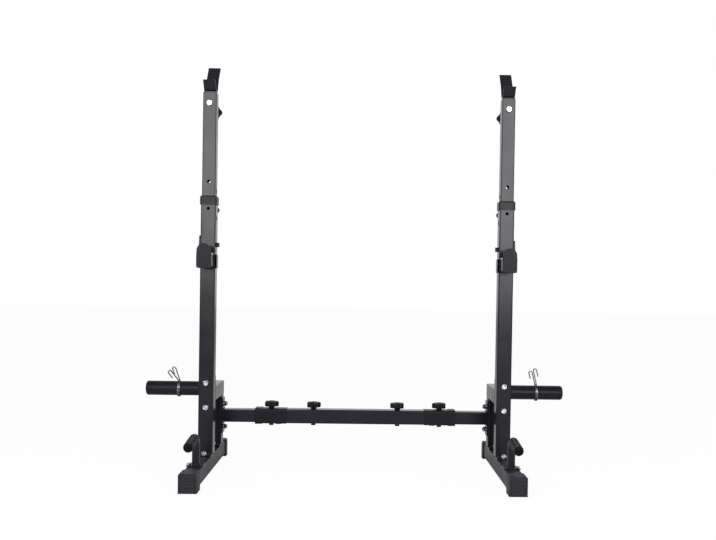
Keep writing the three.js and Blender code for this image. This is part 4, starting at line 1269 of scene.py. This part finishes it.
cradle_knob_reach = 50
lock_knob_foot = half_frame + lock_nut_length + seat_gap
add_knob("cradle_knob", "+y", (0, half_inner + cradle_knob_reach, height_tube_top - cradle_knob_drop),
         cradle_knob_reach + height_tube_wall + cradle_shank_wall - seat_gap)
add_knob("height_knob", "+y", (0, lock_knob_foot, lock_height), lock_knob_foot - half_frame + tube_wall)

# %% [markdown]
# ## Safety hook
# A bracket that hangs on the upright by a pin. Its plates are outlines given a thickness,
# and one Bevel modifier eases all their edges at once. The stub of square tube in front
# carries the bar, the lip with a half-round top keeps it there, and weld runs round the
# stub at both ends. The lip has a duller coat, so it is a piece of its own.

# %% Safety hooks
hook_plate = 5.5
hook_stub = 46
hook_stub_length = 80
hook_stub_wall = 3
hook_floor_drop = 28
hook_lip_rise = 29
hook_lip_drop = 5
hook_cheek_depth = 36
hook_cheek_top = 31
hook_edge = 0.7
hook_bead = 1.6


def box(width, depth, height):
    """A block about its own middle, as a four-cornered outline given a thickness."""
    outline = np.array([[1, 1], [-1, 1], [-1, -1], [1, -1]]) * np.array([width, depth]) / 2
    return slab(outline, -height / 2, height / 2)


def arc(centre_x, centre_y, radius, start, end, steps):
    """Points of an arc between two angles in degrees."""
    angle = np.radians(np.linspace(start, end, steps + 1))
    return np.column_stack([centre_x + radius * np.cos(angle), centre_y + radius * np.sin(angle)])


def upright_plate(outline, thickness, x):
    """A plate drawn in (y, z), standing across x, with its near face at x."""
    points, faces = slab(outline, 0, thickness)
    return points[:, [2, 0, 1]] + np.array([x, 0, 0]), faces


hook_floor = hook_pin_height - hook_floor_drop
stub_middle = hook_floor - hook_stub / 2
hook_foot = hook_floor - hook_stub - hook_lip_drop
web_top = hook_floor - hook_lip_drop
web_height = web_top - hook_foot
web_middle = (web_top + hook_foot) / 2
plate_middle = -frame_face - hook_plate / 2
cheek_front = -frame_face - hook_plate
cheek_back = cheek_front + hook_cheek_depth
nose = hook_pin_diameter
nose_middle = hook_pin_height + hook_cheek_top - nose / 2
web = along("+z", box(2 * frame_face + 2 * hook_plate, hook_plate, web_height), 0, plate_middle, web_middle)
inner_cheek = along("+z", box(hook_plate, hook_cheek_depth, web_height), plate_middle,
                    cheek_front + hook_cheek_depth / 2, web_middle)
cheek_outline = np.concatenate([
    [[cheek_front, hook_foot], [cheek_back, hook_foot], [nose, hook_pin_height]],
    arc(nose / 2, nose_middle, nose / 2, 0, 90, steps=6),
    arc(-nose / 2, nose_middle, nose / 2, 90, 180, steps=6),
    [[cheek_front, web_top]],
])
outer_cheek = upright_plate(cheek_outline, hook_plate, frame_face)
lip_outline = np.concatenate([
    [[-hook_stub / 2, hook_foot], [hook_stub / 2, hook_foot]],
    arc(0, hook_floor + hook_lip_rise - hook_stub / 2, hook_stub / 2, 0, 180, steps=24),
])
lip_back = -frame_face - hook_stub_length
lip = along("-y", slab(lip_outline, 0, hook_plate), 0, lip_back + seat_gap, 0)
hook_plates = baked(mesh_of(web, inner_cheek, outer_cheek), edge=hook_edge)
stub = along("-y", square_tube(hook_stub, hook_stub_wall, inner_corner, 0, hook_stub_length),
             0, -frame_face, stub_middle)
stub_outline = rounded_rectangle(hook_stub, hook_stub, inner_corner)
hook_beads = [weld_round(stub_outline, "-y", 0, place, stub_middle, hook_bead)
              for place in (cheek_front, lip_back)]
both_sides("safety_hook", gathered(hook_plates, mesh_of(stub, *hook_beads)))
both_sides("safety_hook", baked(mesh_of(lip), edge=hook_edge), extra="lip", coat="dull_paint")

# %% Hook pins
pin_proud = 10
pin_groove = 1.2
pin_edge = 0.5
neck_steps = 8

pin_radius = hook_pin_diameter / 2
pin_inner = half_frame + pin_proud
pin_neck = pin_inner - pin_proud / 2
pin_outer = frame_face + hook_plate
neck = [(pin_radius - pin_groove * math.sin(turn), -pin_neck - pin_groove * math.cos(turn))
        for turn in np.linspace(0, np.pi, neck_steps + 1)]
pin_profile = [(pin_radius - pin_groove, -pin_inner), (pin_radius, -pin_inner + pin_groove), *neck,
               (pin_radius, pin_outer - pin_edge), (pin_radius - pin_edge, pin_outer)]
both_sides("hook_pin", mesh_of(along("+x", turned(pin_profile), 0, 0, hook_pin_height)))

# %% [markdown]
# ## Rear brace
# An arm back from the upright and a post down to the base, welded into one corner. The
# arm's front end has a flange that two bolts clamp to the upright, and the post stands on a
# plate that one bolt clamps to the base.

# %% Rear braces
brace_flange_margin = 22
brace_plate_front = 35
plate_corner = 2.5
side_bead = 1.5
side_bead_in = 0.8
side_bead_front = 3
side_bead_back = 4
plug_head = 3
plug_rounding = 2
plug_depth = 12

arm_end = post_reach + half_frame
flange_height = 2 * brace_bolt_reach + 2 * brace_flange_margin
arm = along("+y", frame_length(frame_face, arm_end), 0, 0, brace_height)
flange_back = frame_face + plate_thickness
brace_flange = along("+y", eased_bar(frame_tube, flange_height, plate_corner, 0, plate_thickness),
                     0, frame_face, brace_height)
arm_under = brace_height - half_frame
post_top = arm_under + tube_wall
post = along("+z", frame_length(tube_foot, post_top), 0, post_reach, 0)
front_seam = post_reach - half_frame
post_plate_length = arm_end - (front_seam - brace_plate_front)
post_plate = base_plate(frame_tube, post_plate_length, plate_corner, arm_end - post_plate_length / 2)
brace_beads = [weld_across(weld_half, flange_back, brace_height + turn * half_frame, to_back)
               for turn in (1, -1)]
brace_beads += [weld_across(weld_half, front_seam, height) for height in (arm_under, bead_height)]
side_seam = half_frame - side_bead_in
brace_beads += [
    weld([(x, front_seam + side_bead_front, arm_under), (x, arm_end - side_bead_back, arm_under)],
         up, closed=False, radius=side_bead)
    for x in (side_seam, -side_seam)
]
both_sides("rear_brace", mesh_of(arm, brace_flange, post, post_plate, *brace_beads))

plug_inside = frame_tube - 2 * tube_wall - 2 * seat_gap
plug_corner = tube_corner - tube_wall
plug_rings = [(plug_inside, plug_corner, -plug_depth), (plug_inside, plug_corner, 0),
              (frame_tube, tube_corner, 0)]
plug_rings += [(frame_tube - 2 * inset, tube_corner, plug_head - drop)
               for inset, drop in rounding(plug_rounding, steps=4)]
both_sides("brace_plug", mesh_of(along("+y", squares(plug_rings), 0, arm_end + seat_gap, brace_height)))

# %% [markdown]
# ## Push-up handle
# A round tube that rises from a plate on the base and bends forward, with a grip pulled over
# it. The tube is a circle carried along the path without twisting: at each step the circle's
# own axis is turned by just as much as the path turns. The grip's flutes are a ripple of the
# radius that fades where the end rounds off.

# %% Push-up handles
handle_height = 151.5
handle_slope = math.radians(5.3)
handle_tube = 25
handle_bend = 28
handle_bend_steps = 16
handle_sides = 32
seed_limit = 0.8
least_turn = 1e-12
handle_plate = 54
handle_foot_depth = 8
grip_diameter = 32
grip_length = 118
grip_flutes = 14
grip_flute_depth = 2.2
grip_flute_power = 0.7
grip_flute_sides = 8
grip_flute_start = 4
grip_mouth_edge = 1.2
grip_mouth_share = 0.3
grip_end_share = 0.4
grip_end_flat = 0.2
grip_rounding = 8
grip_round_steps = 7
grip_wall = 7


def round_bar(path, radius, sides):
    """Circles carried along a path. Each frame is the one before, mirrored twice, so it never twists."""
    ahead = unit(np.gradient(path, axis=0))
    seed = np.array([1.0, 0, 0]) if abs(ahead[0, 0]) < seed_limit else np.array([0, 1.0, 0])
    normal = np.empty_like(path)
    normal[0] = unit(seed - ahead[0] * (seed @ ahead[0]))
    for i in range(len(path) - 1):
        step = path[i + 1] - path[i]
        mirrored = normal[i] - step * 2 * (step @ normal[i]) / (step @ step)
        heading = ahead[i] - step * 2 * (step @ ahead[i]) / (step @ step)
        change = ahead[i + 1] - heading
        if change @ change > least_turn:
            mirrored = mirrored - change * 2 * (change @ mirrored) / (change @ change)
        normal[i + 1] = mirrored
    side = np.cross(ahead, normal)
    angle = full_turn(sides)[None, :, None]
    return skin(path[:, None] + radius * (normal[:, None] * np.cos(angle) + side[:, None] * np.sin(angle)))


def fluted_grip():
    """Rings of (radius, share of the ripple, height): the bore, the mouth and the outside, in one skin."""
    angle = full_turn(grip_flute_sides * grip_flutes)
    ripple = grip_flute_depth * (1 - np.abs(np.cos(grip_flutes * angle / 2))) ** grip_flute_power
    bore = handle_tube / 2 + seat_gap
    full = grip_diameter / 2
    rings = [(bore, 0, grip_length - grip_wall), (bore, 0, 0), (full - grip_mouth_edge, grip_mouth_share, 0),
             (full, 1, grip_mouth_edge), (full, 1, grip_flute_start)]
    rings += [(full, 1, grip_length * quarter / 4) for quarter in (1, 2, 3)]
    shares = np.linspace(1, grip_end_share, grip_round_steps + 1)
    rings += [(full - inset, share, grip_length - drop)
              for share, (inset, drop) in zip(shares, rounding(grip_rounding, grip_round_steps))]
    rings += [(full * grip_end_flat, 0, grip_length)]
    radius, share, height = np.array(rings, float).T[:, :, None]
    return spun(angle, radius - share * ripple, height[:, 0])


forward = np.array([0, -math.cos(handle_slope), -math.sin(handle_slope)])
handle_corner = np.array([0, -handle_reach, handle_height])
grip_offset = handle_bend * math.tan(math.pi / 4 + handle_slope / 2) + seat_gap
handle_leg = grip_offset + grip_length - grip_wall - seat_gap
handle_foot = np.array([0, -handle_reach, tube_foot - handle_foot_depth])
handle_corners = [handle_foot, handle_corner, handle_corner + forward * handle_leg]
handle_path = rounded_path(handle_corners, handle_bend, handle_bend_steps)
plate = base_plate(handle_plate, handle_plate, tube_corner, -handle_reach)
handle_bead = weld(at_height(circle(handle_tube / 2), 0) + np.array([0, -handle_reach, bead_height]), up)
handle = round_bar(handle_path, handle_tube / 2, handle_sides)
both_sides("push_up_handle", mesh_of(handle, plate, handle_bead))

points, faces = along("-y", fluted_grip())
tilt = np.array([[1, 0, 0], [0, math.cos(handle_slope), -math.sin(handle_slope)],
                 [0, math.sin(handle_slope), math.cos(handle_slope)]])
both_sides("handle_grip", mesh_of((points @ tilt.T + handle_corner + forward * grip_offset, faces)))

# %% [markdown]
# ## Crossbar
# A centre tube with a moulded sleeve on each mouth, and an arm in each end with a flange
# against the tower's post. Two knobs a side clamp the arms, and the arms have slots so that
# their screws can stay in. The outer knob's nut and a snap button sit in bosses under the
# sleeve.

# %% Crossbar
tube_end = 355
outer_knob = 302
inner_knob = 151
arm_inner_end = 60
arm_travel_in = 55
arm_travel_out = 65
sleeve_length = 112
sleeve_wall = 1.2
sleeve_ring = 25
sleeve_ring_wall = 3
sleeve_lip = 3
sleeve_edge = 0.7
slot_flat = 0.01
button_boss = 276
button_radius = 12
button_height = 3.5
button_edge = 1
button_dimple = 5
button_dimple_floor = 4.6
button_dimple_depth = 0.8


def on_crossbar(axis, shell, x=0.0, z=crossbar_height):
    """A shell placed on the crossbar, so far out from the middle of the stand."""
    return along(axis, shell, x, post_reach, z)


arm_outer_end = tower[0] - half_frame - seat_gap
arm_tube = square_tube(inner_tube, tube_wall, inner_corner, arm_inner_end, arm_outer_end)
slot_length = arm_travel_in + arm_travel_out + bolt_hole
slot = slab(rounded_rectangle(slot_length, bolt_hole, bolt_hole / 2 - slot_flat), -inner_tube, inner_tube)
slot_shift = (arm_travel_out - arm_travel_in) / 2
slots = [on_crossbar("+z", slot, place - slot_shift) for place in (inner_knob, outer_knob)]
slotted = baked(mesh_of(on_crossbar("+x", arm_tube)), slots, hole_edge)
flange_face = arm_outer_end - plate_thickness
flange_plate = eased_bar(flange_height, frame_tube, plate_corner, 0, plate_thickness)
arm_flange = on_crossbar("+x", flange_plate, flange_face)
arm_outline = rounded_rectangle(inner_tube, inner_tube, inner_corner)
arm_bead = weld_round(arm_outline, "-x", flange_face, post_reach, crossbar_height)
both_sides("crossbar_arm", gathered(slotted, mesh_of(arm_flange, arm_bead)), centre_line)

sleeve_end = tube_end + seat_gap + sleeve_lip
sleeve_start = sleeve_end - sleeve_length
skirt_width = frame_fit + 2 * sleeve_wall
ring_width = frame_fit + 2 * sleeve_ring_wall
sleeve_rings = [
    (skirt_width, tube_corner + sleeve_wall, sleeve_start),
    (skirt_width, tube_corner + sleeve_wall, sleeve_end - sleeve_ring),
    (ring_width, tube_corner + sleeve_ring_wall, sleeve_end - sleeve_ring),
    (ring_width, tube_corner + sleeve_ring_wall, sleeve_end),
    (inner_fit, inner_corner, sleeve_end),
    (inner_fit, inner_corner, sleeve_end - sleeve_lip),
    (frame_fit, tube_corner, sleeve_end - sleeve_lip),
    (frame_fit, tube_corner, sleeve_start),
]
sleeve = baked(mesh_of(on_crossbar("+x", squares(sleeve_rings, loop=True))), edge=sleeve_edge)
under = crossbar_height - frame_fit / 2
nut_boss = on_crossbar("-z", hex_block(bolt_across, 0, nut_height + sleeve_wall), outer_knob, under)
button_face = button_height + sleeve_wall
button_profile = [(button_radius, 0), (button_radius, button_face - button_edge),
                  (button_radius - button_edge, button_face), (button_dimple, button_face),
                  (button_dimple_floor, button_face - button_dimple_depth)]
button = on_crossbar("-z", turned(button_profile), button_boss, under)
both_sides("crossbar_sleeve", gathered(sleeve, mesh_of(nut_boss, button)), centre_line)

screw = frame_face + half_frame + nut_height
covered = seat_gap + sleeve_wall
for label, reach, lift in [("inner", inner_knob, 0), ("outer", outer_knob, covered)]:
    add_knob(f"crossbar_knob_{label}", "+z", (reach, post_reach, crossbar_height + frame_face + lift),
             screw + lift, centre_line)

# %% Centre tube
centre_tube = on_crossbar("+x", frame_length(-tube_end, tube_end))
welded_nut = hex_block(bolt_across, -tube_wall, nut_height)
welded_nuts = [on_crossbar("-z", welded_nut, turn * inner_knob, crossbar_height - half_frame)
               for turn in (1, -1)]
piece = placed("crossbar_tube_finished", mesh_of(centre_tube, *welded_nuts), centre_line, 1, "crossbar_tube")
finish(piece, slot_of["crossbar_tube"])

# %% [markdown]
# ## Spring clips
# One wire makes the whole clip. It comes down from a hairpin grip, winds nearly twice round
# the peg and goes up into a second hairpin grip. The coil is a helix. The hairpins are
# straights joined by arcs, each in the plane that holds the peg's axis and its own end of
# the coil.

# %% Spring clips
wire_diameter = 4
clip_gap = 0.4
clip_pitch = 4.8
clip_turns = 2
clip_steps = 72
clip_stride = 3
clip_grip_angle = math.radians(24)
hairpin_width = 11
hairpin_return = 28
wire_bend = 5
wire_bend_steps = 10
wire_sides = 16
same_place = 1e-6
clips = {
    "right": {"place": 88, "grips": [(-21, 84, -1), (-4, 84, 1)]},
    "left": {"place": 68, "grips": [(8, 82, 1), (36, 64, 1)]},
}


def around(angle, distance, out):
    """A point at an angle round the peg's axis, at a distance from it and so far out along it."""
    angle, distance, out = np.broadcast_arrays(angle, distance, out)
    return np.stack([out, -distance * np.sin(angle), distance * np.cos(angle)], -1).astype(float)


def clip_line(grips):
    """The wire's centre line: hairpin, helix, hairpin."""
    radius = peg_diameter / 2 + clip_gap + wire_diameter / 2
    wound = 2 * np.pi * clip_turns - 2 * clip_grip_angle
    steps = clip_stride * round(clip_steps / clip_stride * wound / (2 * np.pi))
    reach = clip_pitch * wound / (2 * np.pi) / 2
    share = np.linspace(0, 1, steps + 1)
    coil = around(clip_grip_angle + wound * share, radius, reach * (2 * share - 1))

    def hairpin(angle, foot, grip):
        """The tip, the fold and the peak of one grip, whose stem starts at the coil's end."""
        out, reach_up, fold_side = grip
        stem = unit(np.array([out - foot, reach_up - radius]))
        across = np.array([-stem[1], stem[0]]) * fold_side
        peak = np.array([out, reach_up])
        fold = peak - across * hairpin_width
        tip = fold - stem * hairpin_return
        return [around(angle, point[1], point[0]) for point in (tip, fold, peak)]

    front = hairpin(clip_grip_angle, -reach, grips[0])
    back = hairpin(-clip_grip_angle, reach, grips[1])[::-1]
    front_line = rounded_path([*front, coil[0], coil[clip_stride]], wire_bend, wire_bend_steps)
    back_line = rounded_path([coil[-1 - clip_stride], coil[-1], *back], wire_bend, wire_bend_steps)
    return np.concatenate([front_line, coil[clip_stride + 1:-1 - clip_stride], back_line])


for side, sign in sides:
    clip = clips[side]
    line = clip_line(clip["grips"]) + np.array([half_frame + clip["place"], 0, peg_height])
    steps = np.linalg.norm(np.diff(line, axis=0), axis=1)
    line = line[np.concatenate([[True], steps > same_place])]
    node_name = f"spring_clip_{side}"
    wire = mesh_of(round_bar(line, wire_diameter / 2, wire_sides))
    finish(placed(f"{side}_spring_clip", wire, tower, sign, node_name), slot_of[node_name])
    print(side, "clip of", len(line), "rings")

# %% [markdown]
# ## Check
# Every CAD node should have its finished piece by now. Any node still shown gets the finish of its slot, and
# their names are printed.

# %% Finish
left_over = sorted(name for name, part in frame["nodes"].items() if not part.hide_render)
for name in left_over:
    frame["nodes"][name].data.materials.clear()
    frame["nodes"][name].data.materials.append(finishes[slot_of[name]])
print("CAD nodes still shown", left_over)
